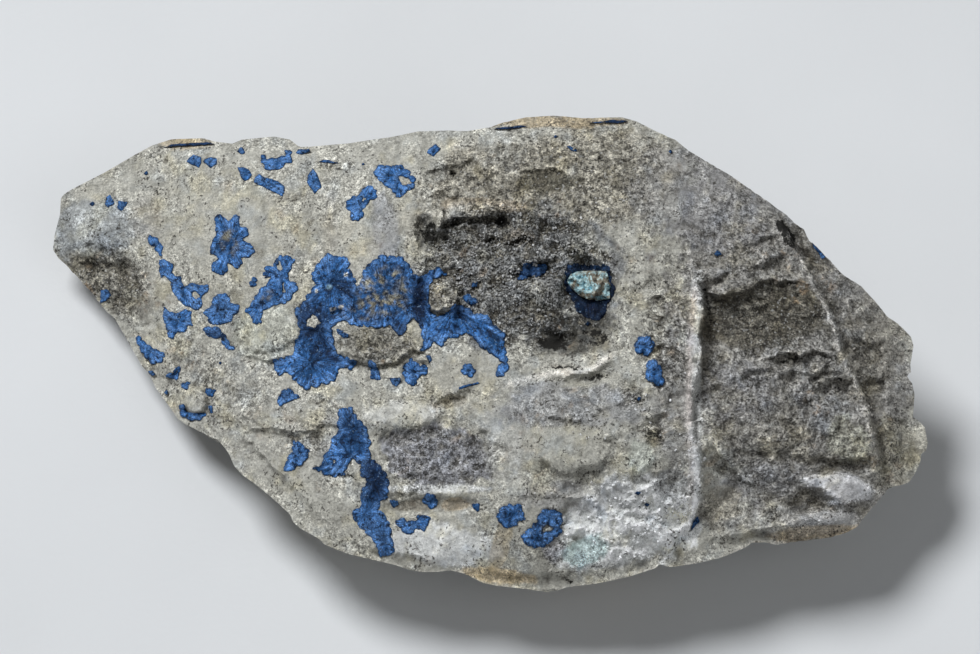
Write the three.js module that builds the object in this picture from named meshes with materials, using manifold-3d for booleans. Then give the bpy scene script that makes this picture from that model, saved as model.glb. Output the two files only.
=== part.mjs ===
// A hand specimen of cornetite on its stone: a broken wedge of pale, fine-grained rock whose upper face carries
// thin blue crusts and rosettes. Millimetres, +Z up, resting on a flat patch at z = 0.
//
// The display face is described in face coordinates: u to the right and v up the face, square to a line of sight
// that leans LEAN degrees forward from the vertical. A point of the face at height z above the base stands at
// x = u, y = (v - z sin LEAN) / cos LEAN.
import * as THREE from "three";
import { mergeVertices } from "three/addons/utils/BufferGeometryUtils.js";
import Module from "manifold-3d";

const wasm = await Module();
wasm.setup();

// Driving dimensions
const LEAN = THREE.MathUtils.degToRad(24);
const HALF_LENGTH = 55;
const HALF_WIDTH = 29.5;
const SEAT_GAP = 0.3;
const CRUST_THICKNESS = 0.8;
const FLECK_THICKNESS = 0.5;
const KNOB_THICKNESS = 1.6;
const SPOT_REACH = 5.2;
const RIM_ROLL_START = 0.86;
const RIM_DROP = 1.6;
const BASE_CENTRE_Y = -9;
const BASE_SAG = 1.9;
const BASE_EDGE_RISE = 2.6;
// How far the sides lean in for each millimetre down from the rim: most on the near side, which overhangs.
const MEAN_UNDERCUT = 0.36;
const NEAR_UNDERCUT_EXTRA = 0.24;
const FOOT_INSET = 1;
const WALL_BULGE = 2.2;
const GRID = { along: 38, across: 18, wall: 3 };
const RIM_SAMPLES = 180;
const PRISM_START = -10;
const PRISM_DEPTH = 80;

// The stone's outline as seen square to the face, from the left tip round the near side.
const STONE_OUTLINE = [
  [-54.9, 13.2], [-54.1, 11.6], [-52.1, 9.7], [-50.3, 7.6], [-48, 5.3], [-46, 2.4], [-44.3, -0.6],
  [-42.4, -3.8], [-41.2, -5.7], [-39, -8.6], [-37.5, -9.4], [-35.4, -10.7], [-33, -11.6], [-32.2, -13.5],
  [-31.2, -14.9], [-29.4, -16.1], [-27.9, -17.4], [-25.1, -19.8], [-24.8, -20.7], [-22.8, -22.2],
  [-20.6, -23.9], [-18.6, -24.6], [-16.2, -25.5], [-12.5, -26.2], [-11.2, -26.8], [-9.3, -27.2],
  [-4.8, -27], [-3.4, -27.4], [-0.8, -28.5], [4.7, -29.2], [6.8, -29.6], [8.2, -29.6], [12.2, -28.8],
  [17.2, -27.9], [20.2, -26.9], [21.2, -26.2], [22.5, -26.4], [27.6, -25.7], [31.3, -24.5], [32.5, -23.7],
  [35.2, -23.8], [37.4, -23.7], [39.2, -23.2], [42.8, -22.9], [45.4, -22], [46.3, -21.2], [48.6, -18.2],
  [49.8, -16.7], [51.5, -16.5], [52.7, -15.9], [53.5, -13.8], [53.9, -12.5], [54.6, -12.1], [54.8, -10.4],
  [54.2, -9], [52.9, -8.2], [53.1, -4.6], [52.5, -2.9], [52.8, -2], [52.6, -0.7], [53.2, 0.6], [52.9, 2.1],
  [52.2, 3.2], [50, 5], [47.5, 7.8], [44.3, 10.2], [41.3, 12.6], [39.9, 14], [39.4, 15.3], [36.2, 18.1],
  [33.9, 19.9], [30.9, 21.7], [29.4, 22.8], [25.2, 25.2], [23.1, 26.9], [20.2, 28.6], [17.4, 29.5],
  [15, 29.8], [12, 29.6], [6, 29.8], [3.4, 29.3], [0.4, 28.3], [-3.6, 27.7], [-6, 28], [-8, 28],
  [-12, 27.1], [-16, 26.6], [-20, 26], [-23.9, 25.9], [-24.7, 26.7], [-27, 27.3], [-29, 27.1],
  [-31.6, 26.5], [-33.3, 26.3], [-36, 27], [-39.4, 27], [-42, 26.2], [-46, 24.3], [-50, 22], [-53.6, 20.1],
  [-54.1, 19.2], [-53.9, 18], [-54.7, 15.6],
];

// Spot heights of the display face above the base: [u, v, height].
const SPOT_HEIGHTS = [
  // left tip and the thin lower left edge
  [-54, 19, 7.5], [-54.5, 14, 6.5], [-52, 11, 5], [-48, 6.5, 4.6], [-45, 2, 4], [-42, -2.5, 4], [-39.5, -7, 4.6],
  [-48, 18.5, 11.4], [-50, 14.5, 10.2], [-47, 10, 7.8], [-44, 15, 11.6], [-44, 21, 12.8], [-48, 22, 10.5],
  // left half of the face
  [-44, 24.5, 12.8], [-38, 25.5, 15.5], [-30, 26, 18], [-38, 18, 16.3], [-32, 14, 17.6], [-38, 8, 13.2],
  [-42, 4, 9.2], [-38, -2, 9.8], [-34, 4, 14.8], [-28, 20, 19.6], [-26, 8, 18.6], [-30, -3, 14.8],
  [-33, -9, 11.2], [-26, -9, 16.6], [-20, 0, 20], [-20, 16, 21.6], [-20, 25, 20.6],
  // lower left bulge and the near edge
  [-31, -14, 10], [-25, -19, 11.5], [-20, -12, 18.2], [-20, -21, 14], [-14, -21, 16], [-16, -25, 11.6],
  [-10, -15, 19.6], [-8, -25, 13.2], [0, -27.5, 11], [0, -18, 19], [-4, -10, 21.8], [-10, -4, 22.2],
  [6, -20, 19.5], [8, -28.5, 11], [18, -21, 20], [18, -27, 12.4],
  // middle, with its two hollows
  [0, 4, 22.8], [9, 2, 21.8], [-2, 15, 21.4], [-12, 13, 23.8], [-14, 22, 23.2], [0, 23, 26], [10, 24, 27.4],
  [10, 14, 25.2], [12, 7.5, 23.6], [12, -5, 24.4], [10, -12, 23.8], [18, -10, 24.2], [24, -10, 24.4],
  [24, 4, 26.2], [20, 12, 27], [20, 22, 28], [-10, 27, 22.6], [5, 28.5, 26], [16, 28.8, 27], [25, 24.5, 26.6],
  // right block, lower than the vein that bounds it
  [30, 14, 26.4], [36, 14, 25.6], [28.5, 4, 22.6], [34, 6, 23.6], [40, 6, 23.6], [30, -6, 21.8],
  [38, -6, 22.4], [45, -7, 20.6], [30, -14, 20], [38, -14, 19.2], [46, -11.5, 18.8], [34, -20, 15.4],
  [42, -18, 15.6], [45, -20.5, 12.4], [30, -23.5, 12.2], [38, -22.5, 11.2], [24, -24.5, 13.6], [33, 19.5, 24.6],
  // outer slab and the fibrous fan at its foot
  [43, 9.5, 20.6], [47, 6, 18.6], [51, 2, 15.4], [49, -3, 17], [52, -5, 14], [50, -8.5, 14.6],
  [50, -12, 12.4], [53, -14, 9.6], [54, -10.5, 9.8], [48, -16.5, 11.4],
];

// Broken facets of the hidden sides and underside: outward normal, and how far the cut stands clear of the
// rim point that reaches farthest that way.
const FACETS = [
  { normal: [-0.32, 0.9, -0.3], clear: 0.4 },
  { normal: [0.34, 0.86, -0.38], clear: 0.5 },
  { normal: [0.8, 0.36, -0.48], clear: 0.6 },
  { normal: [0.62, -0.36, -0.7], clear: 0.2 },
  { normal: [-0.3, -0.6, -0.74], clear: 0.2 },
  { normal: [0.12, -0.68, -0.72], clear: 0.2 },
  { normal: [-0.72, 0.3, -0.63], clear: 0.3 },
  { normal: [0.06, 0.62, -0.78], clear: 0.3 },
];

// Blue crusts, each one piece of grown-together crystals: outline, and any windows where the stone shows through.
const CRUSTS = {
  flower_rosette: {
    outline: [
      [-34.5, 17.3], [-33.8, 17.5], [-32.8, 16.5], [-31.9, 17.5], [-31.4, 17.2], [-31.3, 15.9], [-30.5, 15.8],
      [-30.2, 15], [-31, 14.2], [-30.1, 14], [-29.4, 12.9], [-30.1, 12.2], [-31.2, 12.1], [-31, 11.3],
      [-31.7, 10.7], [-32.8, 11.4], [-32.9, 10.4], [-33.7, 9.8], [-34.9, 10.5], [-34.8, 11.3], [-34, 12],
      [-35.1, 12.7], [-34.9, 13.9], [-34.3, 14.9],
    ],
  },
  winged_rosette: {
    outline: [
      [-41.5, 11.7], [-40.8, 11.9], [-39.7, 11.2], [-39.9, 10.4], [-39.5, 9.7], [-38.8, 9.7], [-38.4, 8.3],
      [-37.4, 8.9], [-36.3, 8.6], [-35.2, 8.7], [-35.4, 7.9], [-36.3, 6.8], [-36, 6], [-36.6, 5.5], [-38.2, 6],
      [-39, 6.8], [-39.9, 8], [-40.1, 9.3], [-41, 9.8], [-41.4, 9.5],
    ],
    windows: [[[-37.5, 7.5], [-36.9, 8], [-36.3, 7.2], [-36.9, 6.8]]],
  },
  heart_crust: {
    outline: [
      [-40.9, 6], [-40.4, 5.4], [-39.2, 5.1], [-38.2, 5.6], [-37.4, 5.3], [-37.6, 4.4], [-37.2, 3.5],
      [-38, 3.6], [-38.3, 2.7], [-39.3, 2.8], [-39.8, 1.8], [-40.3, 2.1], [-40.5, 3.3], [-41, 4.6],
    ],
  },
  broken_crust: {
    outline: [[-42.6, 14.9], [-41.8, 14.5], [-41.1, 13], [-41.3, 12.3], [-42, 13.3], [-43.1, 14.1]],
  },
  left_edge_crescent: {
    outline: [[-48.9, 8], [-48, 8.1], [-47.6, 7.3], [-48.2, 6.7], [-49, 6.4], [-48.9, 7.2]],
  },
  round_rosette: {
    outline: [
      [-34.7, 7], [-34.1, 7.5], [-33.1, 7.6], [-32.6, 7], [-32.6, 6.4], [-31.3, 6], [-31.6, 5.2],
      [-32.2, 4.8], [-32.4, 4.1], [-33.6, 3.8], [-34.6, 3.7], [-35.3, 4], [-35.3, 4.6], [-36, 5.2],
      [-35, 5.9],
    ],
  },
  hanging_strip: {
    outline: [
      [-35.9, 3.3], [-35, 3.4], [-34.1, 3.3], [-33.3, 2.5], [-32.8, 1.5], [-32, 0.7], [-32.6, 0.5],
      [-33.4, 1.1], [-33.7, 2], [-35, 2.1], [-36, 2.9],
    ],
  },
  ragged_rosette: {
    outline: [
      [-26.4, 12.3], [-25.2, 12.3], [-24.4, 11.9], [-25.1, 10.4], [-25.3, 9.3], [-24.1, 8.9], [-24.2, 8.1],
      [-24.8, 7.3], [-25.1, 6.6], [-26.9, 6.1], [-28.4, 5.5], [-28.8, 3.7], [-29.6, 3.9], [-30, 4.9],
      [-30.8, 5.2], [-29.6, 6.5], [-28.8, 7.9], [-27.7, 8.9], [-27.2, 9.6], [-28.3, 9.5], [-28.3, 10.7],
      [-27.2, 11],
    ],
    windows: [
      [[-26.6, 11.5], [-26.2, 11.8], [-25.9, 11], [-26.2, 10.2], [-26.7, 10.6]],
      [[-26.1, 8.9], [-25.8, 8.9], [-25.5, 7.6], [-25.9, 7.5]],
    ],
  },
  ragged_outlier: {
    outline: [[-29.6, 9.6], [-29.2, 9.3], [-29.3, 8.6], [-29.9, 8.3], [-30.1, 9]],
  },
  horseshoe_crust: {
    outline: [
      [-28.7, 24.9], [-28.2, 24.9], [-27.9, 24.4], [-26.4, 24.6], [-25.8, 24.9], [-25.6, 25.6], [-25, 25.4],
      [-24.9, 24.2], [-25.8, 23.8], [-26, 23.2], [-27.5, 23.1], [-28.2, 23.3], [-28.6, 24.2],
    ],
  },
  bar_crystal: {
    outline: [
      [-28.9, 22.5], [-26.5, 21.6], [-25.7, 21], [-25.7, 20.4], [-26, 19.7], [-27.8, 20.6], [-29.6, 21.5],
      [-29.4, 22.2],
    ],
  },
  teardrop_crystal: {
    outline: [[-31.6, 23.5], [-30.9, 23.5], [-30.2, 23.1], [-29.8, 22.5], [-30.1, 21.9], [-30.7, 21.6], [-31.3, 22.2]],
  },
  kite_crystal: {
    outline: [[-22.2, 23.2], [-21.6, 22.4], [-21.1, 20.9], [-22, 20.1], [-22.5, 20.6], [-22.9, 21.4], [-22.8, 22.3]],
  },
  upper_left_crystal: {
    outline: [[-37.3, 25.1], [-36.3, 24.7], [-36.2, 24], [-36.5, 23.4], [-38.1, 24.1], [-37.7, 24.6]],
  },
  upper_left_twin: {
    outline: [[-35.8, 24.5], [-35.1, 24.8], [-34.4, 24.6], [-34.2, 24.1], [-35, 23.3], [-36, 24.1]],
  },
  rim_crystal: {
    outline: [[-31.4, 25.9], [-30.9, 25.8], [-30.7, 25.3], [-31.2, 25], [-31.7, 25.5]],
  },
  tip_crystal: {
    outline: [[-48.3, 19.7], [-47.8, 20], [-47.2, 19.1], [-47.4, 18.7], [-47.9, 18.4], [-48.4, 18.8]],
  },
  tip_twin: {
    outline: [[-46.7, 19.3], [-45.6, 19.1], [-45.8, 18.4], [-46.3, 17.9], [-46.9, 18.4]],
  },
  comma_crust: {
    outline: [
      [-15.8, 20.8], [-15, 20.9], [-14.3, 20.5], [-14.2, 19.8], [-15.3, 18.9], [-15.9, 18.3], [-16.1, 16.9],
      [-17.3, 16.7], [-17.5, 17.9], [-18.1, 18.4], [-18, 19.1], [-17.2, 19.6], [-16.2, 20.1],
    ],
    windows: [[[-16.2, 19.3], [-15.5, 19.6], [-15.3, 19.4], [-16, 19]]],
  },
  eye_rosette: {
    outline: [
      [-14.1, 23.4], [-13.1, 23.6], [-12.2, 23.4], [-11.3, 23.8], [-10.3, 22.8], [-9.4, 21.9], [-9.5, 20.9],
      [-10.6, 20.2], [-11, 19.6], [-11.8, 19.9], [-12.6, 20.9], [-13.6, 21.5], [-14.6, 22.7],
    ],
    windows: [[[-11.5, 22.2], [-10.9, 22.4], [-10, 21.8], [-9.9, 21.2], [-10.6, 21], [-11.4, 21.6]]],
  },
  square_crystal: {
    outline: [[-6.8, 26.3], [-6.1, 25.8], [-7, 24.7], [-7.9, 25.2], [-7.5, 25.8]],
  },
  main_crust: {
    outline: [
      [-20.9, 12], [-20.2, 12.7], [-19.6, 12.1], [-18.8, 12.2], [-17.8, 12], [-17.6, 10.4], [-16.9, 9.4],
      [-16.7, 8.2], [-16, 9.3], [-15.8, 10.4], [-14.8, 11.5], [-13.8, 12.2], [-12.9, 12.3], [-11.3, 12.1],
      [-9.8, 10.8], [-9.7, 9.9], [-8.4, 9.7], [-7.5, 10.3], [-6.5, 10.8], [-5.3, 9.9], [-6.8, 9.6], [-7.5, 8.8],
      [-7.8, 6.7], [-7.3, 5], [-6.4, 4.6], [-5.4, 5], [-4.2, 6.2], [-3.4, 6], [-1.8, 5], [-0.3, 4.9],
      [0.2, 3.8], [1.9, 2.5], [1.7, 1.3], [2.1, -0.4], [2.3, -1.8], [1.4, -2.8], [0.8, -2.8], [0.9, -1.6],
      [1.8, -1.2], [0.4, 0], [-1.4, 1.2], [-2.1, 2.2], [-3.2, 2.8], [-4.2, 2], [-5.4, 2.1], [-6.1, 0.9],
      [-7, 1.7], [-7.8, 0.5], [-8.7, 0.4], [-8.2, 1.4], [-8.6, 3.1], [-9.3, 4.5], [-10.3, 4], [-10.7, 2.6],
      [-11.5, 2.4], [-12.4, 3.6], [-14.3, 3.3], [-17, 3.6], [-18.4, 4.3], [-19.8, 3.6], [-19.6, 1.6],
      [-19.2, 0], [-18, -0.4], [-16.8, -1], [-17.3, -1.9], [-18.8, -1.6], [-19.3, -3.3], [-21.4, -3.9],
      [-23.1, -4.4], [-24.2, -3.4], [-25.3, -2.2], [-26.5, -2.6], [-26.8, -1.9], [-27.2, -0.7], [-25.9, -0.6],
      [-24.4, 0], [-24.4, 1.5], [-23.7, 2.5], [-24, 4.2], [-24.4, 5.5], [-23.6, 6.1], [-22.6, 7.6],
      [-21.8, 8.6], [-22.3, 10], [-21.6, 11.2],
    ],
    windows: [[[-23, 4.2], [-22.3, 4.9], [-21.5, 4.8], [-21.2, 3.8], [-21.8, 3.2], [-22.9, 3.5]]],
  },
  matrix_flap_fleck: {
    outline: [[-19.2, 3.1], [-18.4, 2.9], [-17.6, 2.5], [-17.7, 2.1], [-18.4, 2.1], [-19.1, 2.5]],
  },
  upper_wedge: {
    outline: [[-3.4, 7.3], [-2.6, 7.5], [-1.9, 6.9], [-1.7, 6.3], [-2.4, 6], [-3, 6.5]],
  },
  arrow_crust: {
    outline: [
      [-25.3, -4.3], [-24.7, -4.7], [-23.9, -5.3], [-24.5, -5.7], [-25.3, -5.9], [-26, -6.4], [-26.6, -6.2],
      [-26.2, -5.2], [-26.1, -4.7],
    ],
  },
  ledge_drop: {
    outline: [[-15.2, -1], [-14.6, -0.8], [-14.1, -1.5], [-13.6, -2.9], [-14.2, -3.2], [-14.9, -3.1], [-14.9, -2]],
  },
  ledge_bead: {
    outline: [[-12.5, -3], [-11.2, -2.9], [-11.1, -3.5], [-11.7, -4], [-12.3, -3.8]],
  },
  ledge_fan: {
    outline: [
      [-9.8, -0.5], [-9, -1.3], [-7.6, -1.6], [-7.9, -2.5], [-9, -2.9], [-9.4, -3.7], [-10, -3.9],
      [-10.9, -2.6], [-10.6, -1.4],
    ],
  },
  ledge_crescent: {
    outline: [[-8, -0.1], [-7.4, -0.2], [-7.2, -0.9], [-7.6, -1.2], [-7.7, -0.7]],
  },
  lone_rosette: {
    outline: [[-3.2, -1.3], [-2.5, -1.2], [-1.8, -2.1], [-2.4, -2.9], [-3.1, -2.6], [-3.6, -2]],
  },
  lower_chain_crust: {
    outline: [
      [-18.9, -6.9], [-17.3, -6.6], [-16.9, -7.7], [-15.4, -9.2], [-15, -11], [-15, -12.9], [-13.6, -14],
      [-12.6, -16], [-12.9, -18], [-13.6, -18.3], [-14.1, -19.5], [-13.4, -19.6], [-12.6, -21], [-12.3, -22.6],
      [-12, -24.8], [-13.7, -25.3], [-14.1, -23.8], [-15, -22.6], [-16.6, -21.1], [-17.2, -20.2],
      [-16.9, -19.5], [-16.1, -19], [-16, -16.8], [-15.2, -16], [-16.3, -14.7], [-15.9, -13.9], [-17.3, -12.9],
      [-18.1, -14.4], [-18.2, -15.1], [-19.8, -15.3], [-21, -14.8], [-22.2, -14.3], [-21, -13.9], [-20.7, -12.5],
      [-19.7, -11.6], [-19.7, -10.6], [-18.9, -9.6],
    ],
    windows: [[[-19.8, -13.3], [-19.4, -13], [-19.1, -13.4], [-19.5, -13.7]]],
  },
  boot_crust: {
    outline: [
      [-24.6, -10.8], [-23.4, -11.4], [-22.6, -12], [-23.1, -13.5], [-24, -14], [-24.8, -14.6], [-25.8, -14.5],
      [-25.2, -12.9], [-24.6, -12.2],
    ],
  },
  saddle_crust: {
    outline: [
      [-11.8, -20.8], [-10.9, -20.4], [-10.3, -20.9], [-9.3, -20.9], [-8.9, -20.1], [-7.4, -20.4], [-7.8, -21.1],
      [-8.1, -22.1], [-9.2, -21.7], [-9.6, -22.3], [-10.7, -22.3], [-11.3, -21.5],
    ],
  },
  seam_bead: {
    outline: [[-12.6, -18.2], [-11.5, -18.3], [-11.4, -18.8], [-12, -19.1], [-12.4, -18.8]],
  },
  seam_crust: {
    outline: [[-8.2, -17.6], [-7.6, -17.4], [-6.8, -17.6], [-6.6, -18.3], [-6.8, -19.2], [-7.3, -19.2], [-8.4, -18.4]],
  },
  seam_square: {
    outline: [[-2.4, -18.7], [-1.3, -18.6], [-1.3, -19.4], [-1.6, -19.7], [-2.2, -19.2]],
  },
  near_rosette: {
    outline: [
      [0.7, -20.2], [1.3, -19.4], [2.1, -18.8], [3.7, -18.8], [4.1, -19.4], [4.4, -20.6], [3.6, -20.6],
      [3.4, -21.2], [2.7, -21.5], [1.8, -21.5], [1.2, -21],
    ],
  },
  near_cluster: {
    outline: [
      [4, -22.6], [5.2, -21.6], [5.8, -21], [6.1, -20.1], [6.5, -19.5], [8.1, -19.4], [8.9, -19.9], [9, -20.8],
      [8.7, -21.3], [9, -22.1], [7.6, -23.3], [6.8, -24], [5.1, -24], [4.1, -23.1],
    ],
    windows: [[[6.4, -21.5], [7.2, -21.3], [7.9, -21.7], [7.7, -22.1], [6.8, -22.2]]],
  },
  vein_rosette: {
    outline: [[18.6, 2.2], [19.4, 2.2], [20.3, 1.7], [20.6, 0.8], [19.6, -0.2], [18.8, -0.1], [18.1, 0.5], [18, 1.3]],
  },
  vein_cluster: {
    outline: [
      [19.8, -0.6], [20.5, -0.7], [21.4, -1.9], [21.3, -2.7], [21.6, -3.4], [21.3, -4.1], [20.2, -3.4],
      [19.3, -2.8], [19.5, -1.5],
    ],
  },
  corner_wedge: {
    outline: [[25.8, -20.3], [26.1, -20.9], [25.6, -21.5], [25.1, -22], [25.2, -21]],
  },
  hollow_crust: {
    outline: [[3.3, 9.4], [4.4, 11.1], [5.3, 11.4], [6.2, 11], [7, 11.2], [7, 10.3], [6.2, 9.7], [5.3, 9.8], [4.2, 9.5]],
  },
  pocket_lining: {
    outline: [
      [9.6, 10.9], [11, 11.2], [12.6, 11], [14.9, 11], [15.1, 9.3], [15.6, 8], [15.3, 7.2], [14.6, 6.4],
      [14.4, 5.2], [13.8, 4.2], [12.2, 4.5], [10.9, 5.4], [10.1, 7.3], [9.4, 8.4],
    ],
    windows: [
      [[9.7, 9.1], [10.3, 10.1], [11.6, 10.4], [14.5, 10.3], [14.8, 9.3], [14.8, 7], [13.3, 6.6], [11.5, 7.1], [10.3, 8]],
    ],
  },
  left_edge_crust: {
    outline: [
      [-44.5, 1.9], [-44, 2.2], [-43.6, 1.6], [-42.3, 0.6], [-41, 0.2], [-40.9, -0.4], [-41.3, -1.1],
      [-42.6, -1.2], [-43.2, -0.5], [-43.7, 0.4],
    ],
  },
  button_crust: {
    outline: [[-38.9, -1.4], [-38.9, -2.4], [-39.3, -3.3], [-40.8, -2.8], [-40.1, -2.4], [-39.6, -2.5], [-39.3, -1.9]],
  },
  smile_crust: {
    outline: [
      [-38.4, -6.2], [-38.1, -7.3], [-36.8, -7.5], [-35.8, -7.3], [-35.5, -7.7], [-36.9, -8.3], [-38.4, -7.9],
      [-38.9, -7.2], [-38.8, -6.6],
    ],
  },
  smile_corner: {
    outline: [[-35.5, -4.4], [-34.6, -4.4], [-34.4, -4.9], [-34.9, -5.3], [-35.6, -5]],
  },
  smile_brow: {
    outline: [[-38.6, -3.6], [-37.6, -3.7], [-37.9, -4.2], [-38.3, -4.6], [-38.6, -4.2]],
  },
};

const FLECKS = new Set([
  "ragged_outlier", "rim_crystal", "tip_crystal", "tip_twin", "matrix_flap_fleck", "upper_wedge", "ledge_bead",
  "ledge_crescent", "seam_bead", "seam_square", "corner_wedge", "button_crust", "smile_corner", "smile_brow",
  "left_edge_crescent",
]);

// A lump of stone in the pocket, coated with a turquoise copper mineral.
const TURQUOISE_KNOB = [
  [10.1, 9.1], [10.6, 9.8], [11.7, 10.1], [14.2, 10], [14.5, 9.2], [14.5, 7.3], [13.2, 6.9], [11.6, 7.4], [10.6, 8.2],
];

const sinLean = Math.sin(LEAN);
const cosLean = Math.cos(LEAN);

// Where a point of the face stands in the part's frame.
function facePoint(u, v, height) {
  return new THREE.Vector3(u, (v - height * sinLean) / cosLean, height);
}

// Distance from the face's origin to the stone's outline in the direction (du, dv).
function outlineReach(du, dv) {
  let reach = 0;
  STONE_OUTLINE.forEach(([au, av], i) => {
    const [bu, bv] = STONE_OUTLINE[(i + 1) % STONE_OUTLINE.length];
    const eu = bu - au;
    const ev = bv - av;
    const cross = du * ev - dv * eu;
    if (Math.abs(cross) < 1e-9) return;
    const along = (au * ev - av * eu) / cross;
    const share = (au * dv - av * du) / cross;
    if (share >= 0 && share <= 1 && along > reach) reach = along;
  });
  return reach;
}

// Height of the face above the base: the spot heights, smoothed together.
function faceHeight(u, v) {
  let sum = 0;
  let weight = 0;
  for (const [su, sv, height] of SPOT_HEIGHTS) {
    const near = Math.exp(-((u - su) ** 2 + (v - sv) ** 2) / (2 * SPOT_REACH ** 2)) + 1e-9;
    sum += near * height;
    weight += near;
  }
  return sum / weight;
}

// A square grid position to polar coordinates of the unit disc, rings staying rings.
function discPosition(a, b) {
  if (a === 0 && b === 0) return { radius: 0, angle: 0 };
  if (Math.abs(a) >= Math.abs(b)) {
    return { radius: Math.abs(a), angle: (Math.PI / 4) * (b / a) + (a < 0 ? Math.PI : 0) };
  }
  return { radius: Math.abs(b), angle: Math.PI / 2 - (Math.PI / 4) * (a / b) + (b < 0 ? Math.PI : 0) };
}

// A point of the rim in the direction of the angle, in face coordinates.
function rimAt(angle) {
  const du = HALF_LENGTH * Math.cos(angle);
  const dv = HALF_WIDTH * Math.sin(angle);
  const reach = outlineReach(du, dv);
  return { u: du * reach, v: dv * reach };
}

function rimRoll(radius) {
  const share = Math.max(0, (radius - RIM_ROLL_START) / (1 - RIM_ROLL_START));
  return RIM_DROP * share * share;
}

function rimPoint(angle) {
  const { u, v } = rimAt(angle);
  return facePoint(u, v, faceHeight(u, v) - rimRoll(1));
}

// The outer edge of the underside: the rim drawn in.
function footPoint(angle) {
  const rim = rimPoint(angle);
  const inward = new THREE.Vector3(-rim.x, BASE_CENTRE_Y - rim.y, 0).normalize();
  const inset = FOOT_INSET + rim.z * (MEAN_UNDERCUT - NEAR_UNDERCUT_EXTRA * Math.sin(angle));
  return new THREE.Vector3(rim.x, rim.y, BASE_EDGE_RISE).addScaledVector(inward, inset);
}

// Each corner of a gridded box to its place on the stone.
function stonePoint(a, b, c) {
  const { radius, angle } = discPosition(a, b);
  if (c === 1) {
    const rim = rimAt(angle);
    const u = rim.u * radius;
    const v = rim.v * radius;
    return facePoint(u, v, faceHeight(u, v) - rimRoll(radius));
  }
  const foot = footPoint(angle);
  if (c > -1) {
    const share = (1 - c) / 2;
    const swell = (WALL_BULGE * Math.sin(Math.PI * share) * (1 + Math.sin(angle))) / 2;
    const outward = new THREE.Vector3(Math.cos(angle), Math.sin(angle), 0);
    return rimPoint(angle).lerp(foot, share).addScaledVector(outward, swell);
  }
  const spot = new THREE.Vector3(0, BASE_CENTRE_Y, 0).lerp(foot, radius);
  spot.z = BASE_EDGE_RISE * radius ** 2 - BASE_SAG * (1 - radius ** 2);
  return spot;
}

function solidOf(geometry) {
  const bare = geometry.clone();
  bare.deleteAttribute("normal");
  bare.deleteAttribute("uv");
  const merged = mergeVertices(bare, 1e-4);
  return new wasm.Manifold(
    new wasm.Mesh({
      numProp: 3,
      vertProperties: new Float32Array(merged.attributes.position.array),
      triVerts: new Uint32Array(merged.index.array),
    }),
  );
}

function geometryOf(solid) {
  const mesh = solid.getMesh();
  const geometry = new THREE.BufferGeometry();
  const places = new Float32Array(mesh.numVert * 3);
  for (let i = 0; i < mesh.numVert; i++) {
    places.set(mesh.vertProperties.subarray(i * mesh.numProp, i * mesh.numProp + 3), i * 3);
  }
  geometry.setAttribute("position", new THREE.BufferAttribute(places, 3));
  geometry.setIndex(new THREE.BufferAttribute(mesh.triVerts, 1));
  geometry.computeVertexNormals();
  return geometry;
}

// Keeps what lies on the inner side of a plane given by its outward normal and distance.
function chop(solid, normal, reach) {
  const outward = new THREE.Vector3(...normal).normalize();
  return solid.trimByPlane([-outward.x, -outward.y, -outward.z], -reach);
}

// The distance from the frame's origin of the rim point that reaches farthest along the normal.
function rimReach(normal) {
  const outward = new THREE.Vector3(...normal).normalize();
  let reach = -Infinity;
  for (let i = 0; i < RIM_SAMPLES; i++) {
    const angle = (i / RIM_SAMPLES) * 2 * Math.PI;
    reach = Math.max(reach, rimPoint(angle).dot(outward));
  }
  return reach;
}

function makeStone() {
  const box = new THREE.BoxGeometry(2, 2, 2, GRID.along, GRID.across, GRID.wall);
  const places = box.attributes.position;
  for (let i = 0; i < places.count; i++) {
    const spot = stonePoint(places.getX(i), places.getY(i), places.getZ(i));
    places.setXYZ(i, spot.x, spot.y, spot.z);
  }
  let stone = solidOf(box);
  for (const { normal, clear } of FACETS) stone = chop(stone, normal, rimReach(normal) + clear);
  return chop(stone, [0, 0, -1], 0);
}

// A prism with the outline's cross-section, standing along the line of sight.
function prismOf(outline) {
  const shape = new THREE.Shape(outline.map(([u, v]) => new THREE.Vector2(u, v)));
  const prism = new THREE.ExtrudeGeometry(shape, { depth: PRISM_DEPTH, bevelEnabled: false });
  prism.translate(0, 0, PRISM_START);
  prism.rotateX(LEAN);
  return solidOf(prism);
}

function lifted(stone, distance) {
  return stone.translate([0, -sinLean * distance, cosLean * distance]);
}

// A layer of even thickness, SEAT_GAP above the stone, within the outline and round its windows.
function makeCrust(stone, outline, windows, thickness) {
  let layer = lifted(stone, SEAT_GAP + thickness).intersect(prismOf(outline));
  layer = layer.subtract(lifted(stone, SEAT_GAP));
  for (const window of windows) layer = layer.subtract(prismOf(window));
  const pieces = layer.decompose();
  return pieces.reduce((largest, piece) => (piece.volume() > largest.volume() ? piece : largest));
}

const materials = {
  stone: new THREE.MeshStandardMaterial({ color: 0xa39c8a, roughness: 0.92, metalness: 0 }),
  cornetite: new THREE.MeshStandardMaterial({ color: 0x1f4f96, roughness: 0.45, metalness: 0 }),
  turquoise: new THREE.MeshStandardMaterial({ color: 0x7db5ae, roughness: 0.7, metalness: 0 }),
};

function named(solid, name, material) {
  const mesh = new THREE.Mesh(geometryOf(solid), material);
  mesh.name = name;
  return mesh;
}

const stone = makeStone();
const specimen = new THREE.Group();
specimen.add(named(stone, "matrix_stone", materials.stone));
for (const [name, { outline, windows = [] }] of Object.entries(CRUSTS)) {
  const thickness = FLECKS.has(name) ? FLECK_THICKNESS : CRUST_THICKNESS;
  specimen.add(named(makeCrust(stone, outline, windows, thickness), name, materials.cornetite));
}
specimen.add(named(makeCrust(stone, TURQUOISE_KNOB, [], KNOB_THICKNESS), "turquoise_knob", materials.turquoise));

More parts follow.
